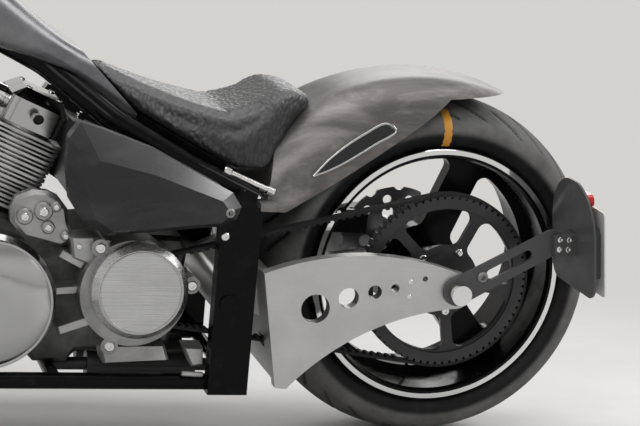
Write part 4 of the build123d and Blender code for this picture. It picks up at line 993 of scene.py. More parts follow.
def tooth_nodes():
    """Belt teeth at an even pitch along a run, square to the axle."""
    group = Nodes(
        "Belt teeth",
        {
            "Pitch": "NodeSocketFloat",
            "Tooth": "NodeSocketVector",
            "Axle": "NodeSocketVector",
            "Finish": "NodeSocketMaterial",
        },
    )
    curve = group.node("GeometryNodeMeshToCurve", Mesh=group.inputs["Geometry"])
    points = group.node(
        "GeometryNodeCurveToPoints", {"mode": "LENGTH"}, Curve=curve.outputs[0], Length=group.inputs["Pitch"]
    )
    turn = group.node("FunctionNodeAxesToRotation", {"primary_axis": "X", "secondary_axis": "Y"})
    group.set(turn, 0, points.outputs["Tangent"])
    group.set(turn, 1, group.inputs["Axle"])
    tooth = group.node("GeometryNodeMeshCube", Size=group.inputs["Tooth"])
    placed = group.node(
        "GeometryNodeInstanceOnPoints",
        Points=points.outputs["Points"],
        Instance=tooth.outputs["Mesh"],
        Rotation=turn.outputs[0],
    )
    return group.finish(placed.outputs[0])


def fin_nodes():
    """Rounded square fins, one on each point, square to the cylinder."""
    group = Nodes(
        "Cooling fins",
        {
            "Width": "NodeSocketFloat",
            "Corner": "NodeSocketFloat",
            "Sheet": "NodeSocketFloat",
            "Axle": "NodeSocketVector",
            "Finish": "NodeSocketMaterial",
        },
    )
    width = group.inputs["Width"]
    square = group.node("GeometryNodeCurvePrimitiveQuadrilateral", Width=width, Height=width)
    rounded = group.node(
        "GeometryNodeFilletCurve",
        {"mode": "POLY"},
        Curve=square.outputs[0],
        Count=6,
        Radius=group.inputs["Corner"],
    )
    top = group.node("ShaderNodeCombineXYZ", Z=group.inputs["Sheet"])
    rise = group.node("GeometryNodeCurvePrimitiveLine", End=top.outputs[0])
    fin = group.node(
        "GeometryNodeCurveToMesh", Curve=rise.outputs[0], Profile_Curve=rounded.outputs[0], Fill_Caps=True
    )
    facing = group.node("GeometryNodeInputNamedAttribute", {"data_type": "FLOAT_VECTOR"}, Name="facing")
    turn = group.node("FunctionNodeAxesToRotation", {"primary_axis": "Z", "secondary_axis": "Y"})
    group.set(turn, 0, facing.outputs[0])
    group.set(turn, 1, group.inputs["Axle"])
    placed = group.node(
        "GeometryNodeInstanceOnPoints",
        Points=group.inputs["Geometry"],
        Instance=fin.outputs[0],
        Rotation=turn.outputs[0],
    )
    return group.finish(placed.outputs[0])


def facing_points(name, places, directions):
    """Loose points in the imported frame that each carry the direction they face."""
    mesh = bpy.data.meshes.new(name)
    mesh.from_pydata([PARKED @ place for place in places], [], [])
    facing = mesh.attributes.new("facing", "FLOAT_VECTOR", "POINT")
    turned = [UPRIGHT.to_3x3() @ direction for direction in directions]
    facing.data.foreach_set("vector", [value for direction in turned for value in direction])
    return mesh


def grown(name, mesh, tree, values, body):
    """Runs a node group over a mesh and keeps the result as a plain piece of one body."""
    holder = bpy.data.objects.new(name, mesh)
    bpy.context.scene.collection.objects.link(holder)
    maker = holder.modifiers.new(tree.name, "NODES")
    maker.node_group = tree
    for item in tree.interface.items_tree:
        if item.in_out == "INPUT" and item.name in values:
            maker[item.identifier] = values[item.name]
    bpy.context.view_layer.update()
    result = bpy.data.meshes.new_from_object(holder.evaluated_get(bpy.context.evaluated_depsgraph_get()))
    if not result.polygons:
        raise RuntimeError(f"{name} came out empty")
    holder.modifiers.remove(maker)
    bpy.data.objects.remove(holder)
    return settle(name, result, body, None)


TREES = {}


def surface(node, x, z, side=1):
    """How far out a solid reaches to the left (side 1) or right (side -1) at a place in side view."""
    if node not in TREES:
        solid = upright_copy(node)
        TREES[node] = BVHTree.FromBMesh(solid)
        solid.free()
    hit = TREES[node].ray_cast(Vector((x, side * 600, z)), Vector((0, -side, 0)))[0]
    if hit is None:
        raise RuntimeError(f"nothing of {node} at {x:.0f}, {z:.0f}")
    return hit.y


def ring_of(centre, radius, count, start=0.0):
    """Places evenly round a circle in side view."""
    for n in range(count):
        angle = math.radians(start) + math.tau * n / count
        yield centre[0] + radius * math.cos(angle), centre[1] + radius * math.sin(angle)


# Engine and drive places on the upright machine, in side view
CRANK = (900, 275)
VEE = 22.5
DERBY = (850, 272)
GEARBOX = (576, 298)
FLANGE = (588, 298)
COVER = (582, 308)
REAR_HUB = (0, REAR_RADIUS)
FRONT_HUB = (FRONT_AT.x, FRONT_AT.z)
HEAD_TOP = 385
HEAD_LOW = 319
CASE_SIDE = 95.4
# Thin fins between the solid ones: the first one's distance from the crank, their pitch and number, and
# their width, corner and sheet
FIN_FIRST, FIN_PITCH, FIN_GAPS = 182.4, 150 / 9, 8
FIN_WIDTH, FIN_CORNER, FIN_SHEET = 138.0, 22.0, 3.0
# Cover over the case top: outline in side view, outer face, and its bosses as place and radius
CASE_TOP = [
    (812, 436), (803, 458), (773, 471), (747, 469), (727, 460), (709, 438), (704, 408), (692, 380),
    (714, 368), (786, 384), (810, 412),
]
CASE_TOP_OUT, BOSS_RISE = 119.0, 8
CASE_BOSSES = [((786, 424), 15), ((753, 434), 17), ((731, 443), 10), ((743, 405), 12), ((711, 390), 9)]
# Web and ribs between the gearbox and the primary case, the pan below and the wedge behind them
WEB = [(706, 394), (671, 398), (630, 392), (626, 362), (662, 340), (700, 356)]
RIBS = [
    [(664, 246), (718, 226), (713, 212), (656, 232)],
    [(684, 303), (726, 299), (726, 286), (686, 289)],
    [(674, 347), (716, 368), (723, 356), (681, 334)],
]
PAN = [(640, 193), (520, 196), (510, 168), (632, 161)]
WEDGE = [(488, 198), (452, 198), (449, 164), (470, 160)]
# The same as slabs: outline, inner and outer face, chamfer. Then the drain bar's ends and radius.
GEARBOX_OUT, RIB_OUT = 150, 142
GEARBOX_SLABS = [
    (WEB, CASE_SIDE, GEARBOX_OUT, 5),
    *((rib, CASE_SIDE, RIB_OUT, 2.5) for rib in RIBS),
    (PAN, CASE_SIDE, GEARBOX_OUT, 5),
    (WEDGE, 120, 166, 5),
]
DRAIN = ((452, 178, 150), (492, 178, 152), 5)
# Covers on the right of the case: outline in side view, outer face, and the round cover's place and radius
PRIMARY_RIGHT = [
    (796, 318), (826, 372), (868, 398), (938, 398), (980, 372), (1008, 318), (1006, 262), (966, 216),
    (852, 212), (806, 250),
]
GEARBOX_RIGHT = [
    (498, 236), (506, 330), (540, 366), (620, 372), (700, 352), (712, 262), (660, 206), (540, 204),
]
RIGHT_COVERS = [
    (PRIMARY_RIGHT, 122.0, (902, 292), 46.0),
    (GEARBOX_RIGHT, 116.0, (604, 288), 56.0),
]
ROUND_RISE = 14.0
# Ends of the two exhaust pipes and the way they point, and a tip's section as distance along and radius
PIPE_ENDS = [((520, -215, 215), (-490, 0, -35)), ((520, -215, 285), (-202, 0, -25))]
PIPE_TIP = [(-26, 24.6), (-24, 27), (12, 27), (14, 25.6), (14, 22.6), (-6, 21.4), (-6, 24.6)]
# Both cylinders' lean from upright. Places on the fork: the trees along the steering axis, with half their
# depth, and the legs ahead of it and to each side.
TILTS = (-VEE, VEE)
LOWER_TREE, UPPER_TREE, TREE_MID = 694, 900, 13
LEG_AHEAD, LEG_SIDE = 70, 105


def along_barrel(tilt, along, across=0.0):
    """Side view place on a cylinder's axis, so far from the crank and forward of the axis."""
    t = math.radians(tilt)
    return (
        CRANK[0] + along * math.sin(t) + across * math.cos(t),
        CRANK[1] + along * math.cos(t) - across * math.sin(t),
    )


def barrel_up(tilt):
    """The way a cylinder points."""
    t = math.radians(tilt)
    return Vector((math.sin(t), 0, math.cos(t)))


# Screws that sit on a solid, in rows of body, finish, solid, places in side view, size and side. The flange's
# screws stand beside its edge, so their height is read a little further forward.
LEFT, RIGHT = 1, -1
FLANGE_PROBE = 11
SCREW_SEED = 7
PLATE_SCREWS = [(x, z) for x in (-202, -184) for z in (420, 438)]
SOLID_SCREWS = [
    ("chassis", "chrome", "gearbox_flange", list(ring_of(FLANGE, 106, 3, 51)), 1.9, LEFT),
    ("chassis", "chrome", "primary_case",
     [spot for spot in ring_of((CRANK[0] + 80, CRANK[1]), 76, 10) if spot[0] > 960], 1.2, LEFT),
    ("chassis", "flange casting", "oil_tank", [(437, 463)], 1.7, LEFT),
    ("chassis", "chrome", "plate_bracket", PLATE_SCREWS, 1.15, LEFT),
    ("chassis", "flange casting", "plate_bracket", [(-45, 360)], 2.0, LEFT),
    *(("chassis", "chrome", "swingarm", [(90, z)], 0.9, side) for z in (318, 346) for side in (LEFT, RIGHT)),
]
LATER_SCREWS = [
    ("rear_wheel", "chrome", "rear_pulley", list(ring_of(REAR_HUB, 60, 5, 43.5)), 1.5, LEFT),
    ("rear_wheel", "chrome", "rear_brake_disc", list(ring_of(REAR_HUB, 38, 5, 20)), 1.3, RIGHT),
    ("front_wheel", "chrome", "front_brake_disc", list(ring_of(FRONT_HUB, 31, 5, 20)), 1.1, LEFT),
]
CALIPER_SCREWS = [("chassis", "chrome", "rear_caliper", [(78, 372), (130, 372)], 1.3, RIGHT)]
FRAME_SCREW = [("chassis", "chrome", "frame", [(437, 415)], 1.5, LEFT)]
WEB_SCREWS = [(650, 380), (690, 378)]
# How far a right cover's screws lie inside its edge, and where the head's screws lie
COVER_INSET = 19
HEAD_SCREWS = [(across, y) for across in (-30, 30) for y in (-46, 46)]


def screw_rows():
    """Every screw as body, finish, place, facing and size. The order sets how each is turned."""
    rows = []

    def on_solids(table):
        for body, finish, node, places, size, side in table:
            probe = FLANGE_PROBE if node == "gearbox_flange" else 0.0
            for x, z in places:
                y = surface(node, x + probe, z, side)
                rows.append((body, finish, Vector((x, y, z)), Vector((0, side, 0)), size))

    def on_case(x, y, z, facing, size):
        rows.append(("chassis", "chrome", Vector((x, y, z)), Vector(facing), size))

    on_solids(SOLID_SCREWS)
    for (x, z), radius in CASE_BOSSES:
        on_case(x, CASE_TOP_OUT + BOSS_RISE, z, (0, LEFT, 0), radius * 0.1)
    for x, z in WEB_SCREWS:
        on_case(x, GEARBOX_OUT, z, (0, LEFT, 0), 1.0)
    on_solids(FRAME_SCREW)
    for outline, out, middle, radius in RIGHT_COVERS:
        for x, z in outline:
            inward = (Vector(middle) - Vector((x, z))).normalized() * COVER_INSET
            on_case(x + inward.x, -out, z + inward.y, (0, RIGHT, 0), 1.1)
        for x, z in ring_of(middle, radius * 0.8, 5, 18):
            on_case(x, -out - ROUND_RISE, z, (0, RIGHT, 0), 0.8)
    on_solids(LATER_SCREWS)
    for tilt in TILTS:
        for across, y in HEAD_SCREWS:
            x, z = along_barrel(tilt, HEAD_TOP, across)
            on_case(x, y, z, barrel_up(tilt), 1.2)
    for along in (LOWER_TREE, UPPER_TREE):
        for s in (-1, 1):
            place = steer(along + TREE_MID, LEG_AHEAD + 31, s * LEG_SIDE)
            rows.append(("steering", "chrome", place, AHEAD, 1.2))
    on_solids(CALIPER_SCREWS)
    return rows


STEER_MID = PARKED.inverted() @ Vector(JOINTS["steering_turn"]["pos_m"])
STEER_UP = (UPRIGHT.inverted().to_3x3() @ Vector(JOINTS["steering_turn"]["axis"])).normalized()
AHEAD = Vector((STEER_UP.z, 0, -STEER_UP.x))
STEER_ALONG = 810.0


def steer(along, ahead=0.0, left=0.0):
    """Place on the fork: distance along the steering axis, forward of it and to the left."""
    return STEER_MID + STEER_UP * (along - STEER_ALONG) + AHEAD * ahead + Vector((0, left, 0))


class CHOPPER_OT_screws(bpy.types.Operator):
    """Make the cap screws on the engine, wheels, bracket and fork"""

    bl_idname = "chopper.screws"
    bl_label = "Screws"

    def execute(self, context):
        sizes = context.scene.chopper_sizes
        tree = screw_nodes()
        rows = screw_rows()
        for body, finish in sorted({row[:2] for row in rows}):
            mine = [row for row in rows if row[:2] == (body, finish)]
            mesh = facing_points("screws", [row[2] for row in mine], [row[3] for row in mine])
            size = mesh.attributes.new("size", "FLOAT", "POINT")
            size.data.foreach_set("value", [row[4] for row in mine])
            values = {
                "Radius": sizes.screw_radius,
                "Height": sizes.screw_height,
                "Seed": SCREW_SEED,
                "Finish": FINISH[finish],
            }
            grown(f"{body}_screws_{finish.replace(' ', '_')}", mesh, tree, values, body)
        return {"FINISHED"}


class CHOPPER_OT_castings(bpy.types.Operator):
    """Make the thin fins, the cast covers on both sides of the case, the gearbox's web and the pipes' tips"""

    bl_idname = "chopper.castings"
    bl_label = "Castings"

    def execute(self, context):
        self.fins()
        self.case_top()
        self.gearbox()
        self.right_covers()
        self.pipe_ends()
        return {"FINISHED"}

    def fins(self):
        """Thin fins between the solid fins of both cylinders."""
        places, directions = [], []
        for tilt in TILTS:
            for n in range(FIN_GAPS):
                x, z = along_barrel(tilt, FIN_FIRST + n * FIN_PITCH)
                places.append(Vector((x, 0, z)))
                directions.append(barrel_up(tilt))
        mesh = facing_points("fins", places, directions)
        values = {
            "Width": FIN_WIDTH * MM,
            "Corner": FIN_CORNER * MM,
            "Sheet": FIN_SHEET * MM,
            "Axle": tuple(SPIN_AXIS),
            "Finish": FINISH["fin casting"],
        }
        grown("thin_fins", mesh, fin_nodes(), values, "chassis")

    def case_top(self):
        """Cast cover with bosses, on the left of the case below the rear cylinder."""
        made = bmesh.new()
        slab(made, CASE_TOP, CASE_SIDE, CASE_TOP_OUT, 8)
        for (x, z), radius in CASE_BOSSES:
            bar(made, (x, CASE_TOP_OUT - 10, z), (x, CASE_TOP_OUT + BOSS_RISE, z), radius, 28, 2.5)
        piece("case_top_cover", made, "chassis", "case casting")

    def gearbox(self):
        """Web and ribs ahead of the gearbox flange, the pan under it and the wedge behind."""
        made = bmesh.new()
        for row in GEARBOX_SLABS:
            slab(made, *row)
        bar(made, *DRAIN, 16, 1)
        piece("gearbox_web", made, "chassis", "case casting")

    def right_covers(self):
        """Cast covers on the right of the case, each with a round polished one on it."""
        cast, polished = bmesh.new(), bmesh.new()
        for outline, out, (x, z), radius in RIGHT_COVERS:
            slab(cast, outline, -CASE_SIDE, -out, 9)
            bar(polished, (x, 6 - out, z), (x, -out - ROUND_RISE, z), radius, 64, 4)
        piece("right_covers", cast, "chassis", "case casting")
        piece("right_round_covers", polished, "chassis", "polished alloy")

    def pipe_ends(self):
        """Chrome tips on the exhaust pipes."""
        made = bmesh.new()
        for place, way in PIPE_ENDS:
            lathe(made, PIPE_TIP, place, 64, axis=way)
        piece("exhaust_tips", made, "chassis", "chrome")


# The belt's inner face: both pulleys' centres and the radii it runs on, its middle and width
BELT_WHEELS = ((0, REAR_RADIUS, 162.3), (GEARBOX[0], GEARBOX[1], 52.0))
BELT_MIDDLE, BELT_WIDTH, TOOTH_HEIGHT = 149.0, 20.0, 3.6


class CHOPPER_OT_belt_teeth(bpy.types.Operator):
    """Make the teeth on the free runs of the drive belt"""

    bl_idname = "chopper.belt_teeth"
    bl_label = "Belt teeth"

    def execute(self, context):
        (x1, z1, r1), (x2, z2, r2) = BELT_WHEELS
        base = math.atan2(z2 - z1, x2 - x1)
        lean = math.acos((r1 - r2) / math.hypot(x2 - x1, z2 - z1))
        points, edges = [], []
        for s in (-1, 1):
            out = Vector((math.cos(base + s * lean), 0, math.sin(base + s * lean)))
            low = Vector((x1, BELT_MIDDLE, z1)) + out * (r1 - TOOTH_HEIGHT / 2)
            high = Vector((x2, BELT_MIDDLE, z2)) + out * (r2 - TOOTH_HEIGHT / 2)
            edges.append((len(points), len(points) + 1))
            points += [low.lerp(high, 0.1), low.lerp(high, 0.94)]
        mesh = bpy.data.meshes.new("belt_runs")
        mesh.from_pydata([PARKED @ point for point in points], edges, [])
        pitch = context.scene.chopper_sizes.belt_pitch
        values = {
            "Pitch": pitch,
            "Tooth": (pitch * 0.5, BELT_WIDTH * MM, TOOTH_HEIGHT * MM),
            "Axle": tuple(SPIN_AXIS),
            "Finish": FINISH["belt rubber"],
        }
        grown("drive_belt_teeth", mesh, tooth_nodes(), values, "chassis")
        return {"FINISHED"}


# Trim

# The crescent pressed into the fender's flank: upper and lower edge in side view, from front to back
CRESCENT_HIGH = [(268, 519), (243, 549), (211, 577), (176, 601), (139, 621)]
CRESCENT_LOW = [(268, 519), (236, 532), (199, 553), (156, 582), (118, 607)]
CRESCENT_STRIPS = 6
# The fender's arc in side view, its half width and the flat half of its dome
FENDER_CENTRE, FENDER_RADIUS, FENDER_HALF, FENDER_FLAT = (30, 230), 470, 146, 56


def fender_flank(x, z):
    """Half width of the rear fender at a place in side view."""
    dome = FENDER_HALF - FENDER_FLAT
    depth = FENDER_RADIUS - math.hypot(x - FENDER_CENTRE[0], z - FENDER_CENTRE[1])
    if depth >= dome:
        return FENDER_HALF
    return FENDER_FLAT + math.sqrt(max(0.0, dome**2 - (dome - depth) ** 2))


class CHOPPER_OT_fender_trim(bpy.types.Operator):
    """Make the dark crescents on the fender's flanks and their raised edges"""

    bl_idname = "chopper.fender_trim"
    bl_label = "Fender trim"

    def execute(self, context):
        high = smooth_path([Vector(p) for p in CRESCENT_HIGH], 6)
        low = smooth_path([Vector(p) for p in CRESCENT_LOW], 6)
        floor, edge = bmesh.new(), bmesh.new()
        for s in (-1, 1):
            rows = []
            for top, bottom in zip(high, low):
                across = (top.lerp(bottom, n / CRESCENT_STRIPS) for n in range(CRESCENT_STRIPS + 1))
                rows.append([floor.verts.new((x, s * (fender_flank(x, z) + 0.5), z)) for x, z in across])
            skin(floor, rows if s < 0 else rows[::-1], False)
            round_it = CRESCENT_HIGH + list(reversed(CRESCENT_LOW))[:-1] + [CRESCENT_HIGH[0]]
            hose(edge, [(x, s * (fender_flank(x, z) + 0.6), z) for x, z in round_it], 2.4, 10, 5)
        piece("fender_crescents", floor, "chassis", "satin black", merge=False)
        piece("fender_crescent_edges", edge, "chassis", "polished alloy")
        return {"FINISHED"}


# Pushrod tubes: how far they stand from the barrel's axis, how far right at foot and head, and radius. The
# feet start so far from the crank, reach on into the case, and stand closer and less tilted than the heads.
PUSHROD_ACROSS, PUSHROD_FOOT, PUSHROD_HEAD, PUSHROD_RADIUS = 16, -86, -66, 6.5
PUSHROD_START, PUSHROD_SUNK, PUSHROD_CLOSER = 172, 26, 0.8
# Their collars as distance from the tube's foot, length and radius, and one as distance below its head
PUSHROD_COLLARS, PUSHROD_TOP = [(-PUSHROD_SUNK, 16, 9.5), (46, 8, 8.2)], (26, 20, 9.0)
# Spark plug as bars out from the head: start, end, radius, sides and chamfer. Then its cap, and its rise.
PLUG = [(-2, 10, 9.0, 6, 1.0), (9, 20, 5.0, 14, 0.6)]
PLUG_CAP, PLUG_CAP_RISE = (16, 36, 8.5, 16, 2.0), 5
# Turned rings as sections of distance out and radius: on the round cover and on the dome
COVER_RING = [(202.2, 72), (203.2, 72.6), (203.2, 75), (202.2, 75.6)]
DOME_RING = [(166, 112.5), (168.6, 113.6), (168.6, 117.6), (160, 118.4)]


class CHOPPER_OT_engine_trim(bpy.types.Operator):
    """Make the pushrod tubes, spark plugs and cover rings of the engine"""

    bl_idname = "chopper.engine_trim"
    bl_label = "Engine trim"

    def execute(self, context):
        self.pushrods()
        self.plugs()
        self.covers()
        return {"FINISHED"}

    def pushrods(self):
        """Four chrome tubes up the right side of the cylinders, with collars."""
        made = bmesh.new()
        for tilt in TILTS:
            for across in (-PUSHROD_ACROSS, PUSHROD_ACROSS):
                x0, z0 = along_barrel(tilt * PUSHROD_CLOSER, PUSHROD_START, across * PUSHROD_CLOSER)
                x1, z1 = along_barrel(tilt, HEAD_LOW + 4, across)
                low, high = Vector((x0, PUSHROD_FOOT, z0)), Vector((x1, PUSHROD_HEAD, z1))
                run = (high - low).normalized()
                bar(made, low - run * PUSHROD_SUNK, high, PUSHROD_RADIUS, 16)
                below, *shape = PUSHROD_TOP
                top = ((high - low).length - below, *shape)
                for start, length, radius in (*PUSHROD_COLLARS, top):
                    bar(made, low + run * start, low + run * (start + length), radius, 16, 1.2)
        piece("pushrod_tubes", made, "chassis", "chrome")

    def plugs(self):
        """Spark plugs with black caps on the left of both heads."""
        metal, cap = bmesh.new(), bmesh.new()
        for tilt in TILTS:
            x, z = along_barrel(tilt, HEAD_LOW + 24, 0)
            y = surface("head_rear" if tilt < 0 else "head_front", x, z)
            for start, end, *shape in PLUG:
                bar(metal, (x, y + start, z), (x, y + end, z), *shape)
            start, end, *shape = PLUG_CAP
            bar(cap, (x, y + start, z), (x, y + end, z + PLUG_CAP_RISE), *shape)
        piece("spark_plugs", metal, "chassis", "chrome")
        piece("plug_caps", cap, "chassis", "grip rubber")

    def covers(self):
        """Turned rings on the round cover and the dome."""
        made = bmesh.new()
        for section, (x, z) in ((COVER_RING, COVER), (DOME_RING, DERBY)):
            lathe(made, section, (x, 0, z), 128)
        piece("cover_rings", made, "chassis", "polished alloy")


# Link under the seat rail as bars of start, end, radius and chamfer. The rail's bushes as outer end, radius.
RAIL_LINK = [
    ((430, 150, 523), (348, 150, 490), 6.5, 1.5),
    ((438, 150, 526), (424, 150, 520.5), 9.5, 2.0),
    ((356, 150, 493), (340, 150, 486.8), 9.5, 2.0),
]
RAIL_BUSHES, BUSH_LENGTH = [((798, 60, 705), 7), ((722, 84, 656), 10), ((692, 96, 602), 8)], 16


class CHOPPER_OT_rail_trim(bpy.types.Operator):
    """Make the polished link under the seat rail and the bushes along the rail"""

    bl_idname = "chopper.rail_trim"
    bl_label = "Rail trim"

    def execute(self, context):
        made = bmesh.new()
        for start, end, radius, bevel in RAIL_LINK:
            bar(made, start, end, radius, 18, bevel)
        for (x, y, z), radius in RAIL_BUSHES:
            bar(made, (x, y - BUSH_LENGTH, z), (x, y, z), radius, 18, 1.4)
        piece("rail_trim", made, "chassis", "chrome")
        return {"FINISHED"}


# Headlamp: its middle on the fork, the glass's foot, rise and radius, and the bezel's section
LAMP_AT = (LOWER_TREE - 0.3 + 112, 176)
GLASS_FOOT, GLASS_RISE, GLASS_RADIUS = 24.4, 13, 64
BEZEL = [(20, 70.5), (28, 70.8), (31, 68.6), (30, 64), (24.6, 62.5), (22, 64)]
# Fork seal's section and place along the fork
SEAL = [(-6, 27.2), (-6, 29.4), (6, 29.4), (9, 25.5), (15, 23.5), (15, 20.8), (0.6, 20.8)]
SEAL_ALONG = 340
# Grips: the bar's middle on the fork, a grip's outer and inner end from it, and the ribs' sizes
BAR_AT = (UPPER_TREE + 0.3 + 26 + 70, 20)
GRIP_OUT, GRIP_IN = (-225, 395, 20), (-150, 275, 40)
RIB_RADIUS, RIB_RISE, RIB_PITCH, GRIP_BORE, RIB_STEPS = 16.6, 0.9, 8.0, 13.0, 90
# Share of the run between both ends that is ribbed, and by which it starts outside
RIB_SHARE, RIB_OUTSIDE = 0.75, 0.03


class CHOPPER_OT_front_trim(bpy.types.Operator):
    """Make the headlamp's bezel and lens, the fork seals and the ribs of the grips"""

    bl_idname = "chopper.front_trim"
    bl_label = "Front trim"

    def execute(self, context):
        self.lamp()
        self.seals()
        self.ribs()
        return {"FINISHED"}

    def lamp(self):
        """Domed glass and chrome bezel on the headlamp's face."""
        middle = steer(*LAMP_AT)
        glass, bezel = bmesh.new(), bmesh.new()
        turns = [n * math.pi / 24 for n in range(12, -1, -1)]
        dome = [(GLASS_FOOT + GLASS_RISE * math.cos(t), GLASS_RADIUS * math.sin(t)) for t in turns]
        closing = (GLASS_FOOT - 0.2, 0.01), (GLASS_FOOT + GLASS_RISE + 0.2, 0.01)
        lathe(glass, [closing[0], *dome, closing[1]], middle, 96, closed=False, axis=(1, 0, 0))
        lathe(bezel, BEZEL, middle, 96, axis=(1, 0, 0))
        piece("headlamp_glass", glass, "steering", "lamp glass")
        piece("headlamp_bezel", bezel, "steering", "chrome")

    def seals(self):
        """Dust seals on the tops of the sliders."""
        made = bmesh.new()
        for s in (-1, 1):
            lathe(made, SEAL, steer(SEAL_ALONG, LEG_AHEAD, s * LEG_SIDE), 64, axis=tuple(STEER_UP))
        piece("fork_seals", made, "steering", "grip rubber")

    def ribs(self):
        """Rounded ribs along both grips."""
        made = bmesh.new()
        middle = steer(*BAR_AT)
        for s in (-1, 1):
            end, start = (Vector((middle.x + x, s * y, middle.z + z)) for x, y, z in (GRIP_OUT, GRIP_IN))
            run = start - end
            length = run.length * RIB_SHARE
            outline = []
            for n in range(RIB_STEPS + 1):
                along = length * n / RIB_STEPS
                wave = 0.5 + 0.5 * math.cos(math.tau * along / RIB_PITCH)
                outline.append((along, RIB_RADIUS + RIB_RISE * wave))
            outline += [(length, GRIP_BORE), (0.0, GRIP_BORE)]
            lathe(made, outline, end - run * RIB_OUTSIDE, 40, axis=tuple(run))
        piece("grip_ribs", made, "steering", "grip rubber")


# Stage


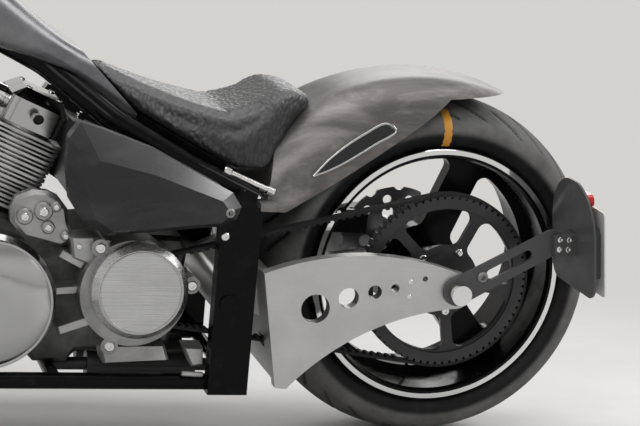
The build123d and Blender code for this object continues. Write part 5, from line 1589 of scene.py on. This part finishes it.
class CHOPPER_OT_stage(bpy.types.Operator):
    """Make the floor, the soft studio light and the camera at the photograph's angle"""

    bl_idname = "chopper.stage"
    bl_label = "Stage"

    def execute(self, context):
        scene = context.scene
        scene.view_settings.view_transform = "Standard"
        self.floor(scene)
        self.world(scene)
        self.lamps(scene)
        self.camera(scene)
        return {"FINISHED"}

    def floor(self, scene):
        """Large pale floor that fades into the room."""
        base = tuple(scene.chopper_colours.floor)
        made = Finish("studio floor", base, roughness=0.5)
        marks = made.noise(3.0, 6, 0.6)
        made.colour(made.mix(made.range(marks, 0.3, 0.75), darker(base, 0.06), lighter(base, 0.04)))
        far = made.node("ShaderNodeVectorMath", {"operation": "LENGTH"})
        made.set(far, 0, made.coords)
        seen = made.node("ShaderNodeLightPath").outputs["Is Camera Ray"]
        fade = made.math("MULTIPLY", made.range(far.outputs["Value"], *FLOOR_FADE), seen)
        room = made.node("ShaderNodeEmission", Color=(*scene.chopper_colours.room, 1))
        blend = made.node("ShaderNodeMixShader", Fac=fade)
        made.set(blend, 1, made.shader.outputs[0])
        made.set(blend, 2, room.outputs[0])
        made.set(made.tree.nodes["Material Output"], "Surface", blend.outputs[0])
        mesh = bpy.data.meshes.new("floor")
        corners = [(-1, -1), (1, -1), (1, 1), (-1, 1)]
        mesh.from_pydata([(x * FLOOR_HALF, y * FLOOR_HALF, 0) for x, y in corners], [], [(0, 1, 2, 3)])
        mesh.materials.append(made.material)
        floor = bpy.data.objects.new("floor", mesh)
        scene.collection.objects.link(floor)

    def world(self, scene):
        """Even pale surround: a bright room to the eye and in reflections, softer as light."""
        world = bpy.data.worlds.new("studio")
        scene.world = world
        world.use_nodes = True
        made = TreeBuilder(world.node_tree)
        made.tree.nodes.clear()
        lit = made.node("ShaderNodeBackground", Color=ROOM_LIGHT, Strength=ROOM_STRENGTH)
        height = made.node("ShaderNodeSeparateXYZ")
        made.set(height, 0, made.node("ShaderNodeTexCoord").outputs["Generated"])
        bands = made.node("ShaderNodeValToRGB", Fac=height.outputs["Z"])
        while len(bands.color_ramp.elements) < len(ROOM_BANDS):
            bands.color_ramp.elements.new(0.5)
        for element, (place, tone) in zip(bands.color_ramp.elements, ROOM_BANDS):
            element.position = place
            element.color = (*(tone * channel for channel in scene.chopper_colours.room), 1)
        seen = made.node("ShaderNodeBackground", Color=bands.outputs[0])
        path = made.node("ShaderNodeLightPath").outputs
        looked_at = path["Is Camera Ray"]
        for name in ("Is Glossy Ray", "Is Transmission Ray"):
            looked_at = made.math("MAXIMUM", looked_at, path[name])
        mix = made.node("ShaderNodeMixShader", Fac=looked_at)
        made.set(mix, 1, lit.outputs[0])
        made.set(mix, 2, seen.outputs[0])
        made.node("ShaderNodeOutputWorld", Surface=mix.outputs[0])

    def lamps(self, scene):
        """Soft boxes overhead, on the camera's side, on the far side and behind."""
        for name, place, target, size, power in LAMPS:
            data = bpy.data.lights.new(name, "AREA")
            data.shape = "RECTANGLE"
            data.size, data.size_y = size
            data.energy = power
            lamp = bpy.data.objects.new(name, data)
            lamp.location = place
            lamp.rotation_mode = "QUATERNION"
            lamp.rotation_quaternion = (Vector(target) - Vector(place)).to_track_quat("-Z", "Y")
            lamp.visible_camera = False
            scene.collection.objects.link(lamp)

    def camera(self, scene):
        """Camera fitted to the photograph's rear wheel, turned so that its centre falls at its pixel."""
        turn, rise, roll = (math.radians(a) for a in (PHOTO_TURN, PHOTO_RISE, PHOTO_ROLL))
        back = Vector((math.sin(turn) * math.cos(rise), math.cos(turn) * math.cos(rise), math.sin(rise)))
        right = Vector((-math.cos(turn), math.sin(turn), 0))
        up = back.cross(right)
        right, up = (
            right * math.cos(roll) + up * math.sin(roll),
            up * math.cos(roll) - right * math.sin(roll),
        )
        basis = Matrix((right, up, back)).transposed()
        off_x = math.atan2(PHOTO_WHEEL[0] - PHOTO_WIDTH / 2, PHOTO_FOCAL)
        off_y = math.atan2(PHOTO_HEIGHT / 2 - PHOTO_WHEEL[1], PHOTO_FOCAL)
        aim = Matrix.Rotation(off_x, 3, "Y") @ Matrix.Rotation(-off_y, 3, "X")
        turned = (UPRIGHT.to_3x3() @ basis @ aim).to_4x4()
        place = REAR_AXLE + UPRIGHT.to_3x3() @ back * PHOTO_DISTANCE * MM
        data = bpy.data.cameras.new("photo_camera")
        data.sensor_width = SENSOR
        data.lens = PHOTO_FOCAL * SENSOR / PHOTO_WIDTH
        camera = bpy.data.objects.new("photo_camera", data)
        camera.matrix_world = Matrix.Translation(place) @ turned
        scene.collection.objects.link(camera)
        scene.camera = camera


PIECES = (
    CHOPPER_OT_finishes,
    CHOPPER_OT_tyres,
    CHOPPER_OT_rim_lips,
    CHOPPER_OT_seat,
    CHOPPER_OT_screws,
    CHOPPER_OT_castings,
    CHOPPER_OT_belt_teeth,
    CHOPPER_OT_fender_trim,
    CHOPPER_OT_engine_trim,
    CHOPPER_OT_rail_trim,
    CHOPPER_OT_front_trim,
    CHOPPER_OT_stage,
)


class CHOPPER_PT_panel(bpy.types.Panel):
    """Lists the chopper's pieces in the sidebar"""

    bl_idname = "CHOPPER_PT_panel"
    bl_label = "Chopper"
    bl_space_type = "VIEW_3D"
    bl_region_type = "UI"
    bl_category = "Chopper"

    def draw(self, context):
        layout = self.layout
        for group in (context.scene.chopper_sizes, context.scene.chopper_colours):
            box = layout.box()
            for name in group.bl_rna.properties.keys():
                if name not in ("rna_type", "name"):
                    box.prop(group, name)
        for operator in PIECES:
            layout.operator(operator.bl_idname)


CLASSES = (ChopperSizes, ChopperColours, *PIECES, CHOPPER_PT_panel)


def register():
    """Registers the classes and hangs the settings on the scene."""
    for kind in CLASSES:
        bpy.utils.register_class(kind)
    bpy.types.Scene.chopper_sizes = bpy.props.PointerProperty(type=ChopperSizes)
    bpy.types.Scene.chopper_colours = bpy.props.PointerProperty(type=ChopperColours)


def unregister():
    """Takes the settings and the classes away again."""
    del bpy.types.Scene.chopper_colours
    del bpy.types.Scene.chopper_sizes
    for kind in reversed(CLASSES):
        bpy.utils.unregister_class(kind)


def main():
    """Makes every piece in order."""
    register()
    for operator in PIECES:
        group, name = operator.bl_idname.split(".")
        getattr(getattr(bpy.ops, group), name)()


if __name__ == "__main__":
    main()
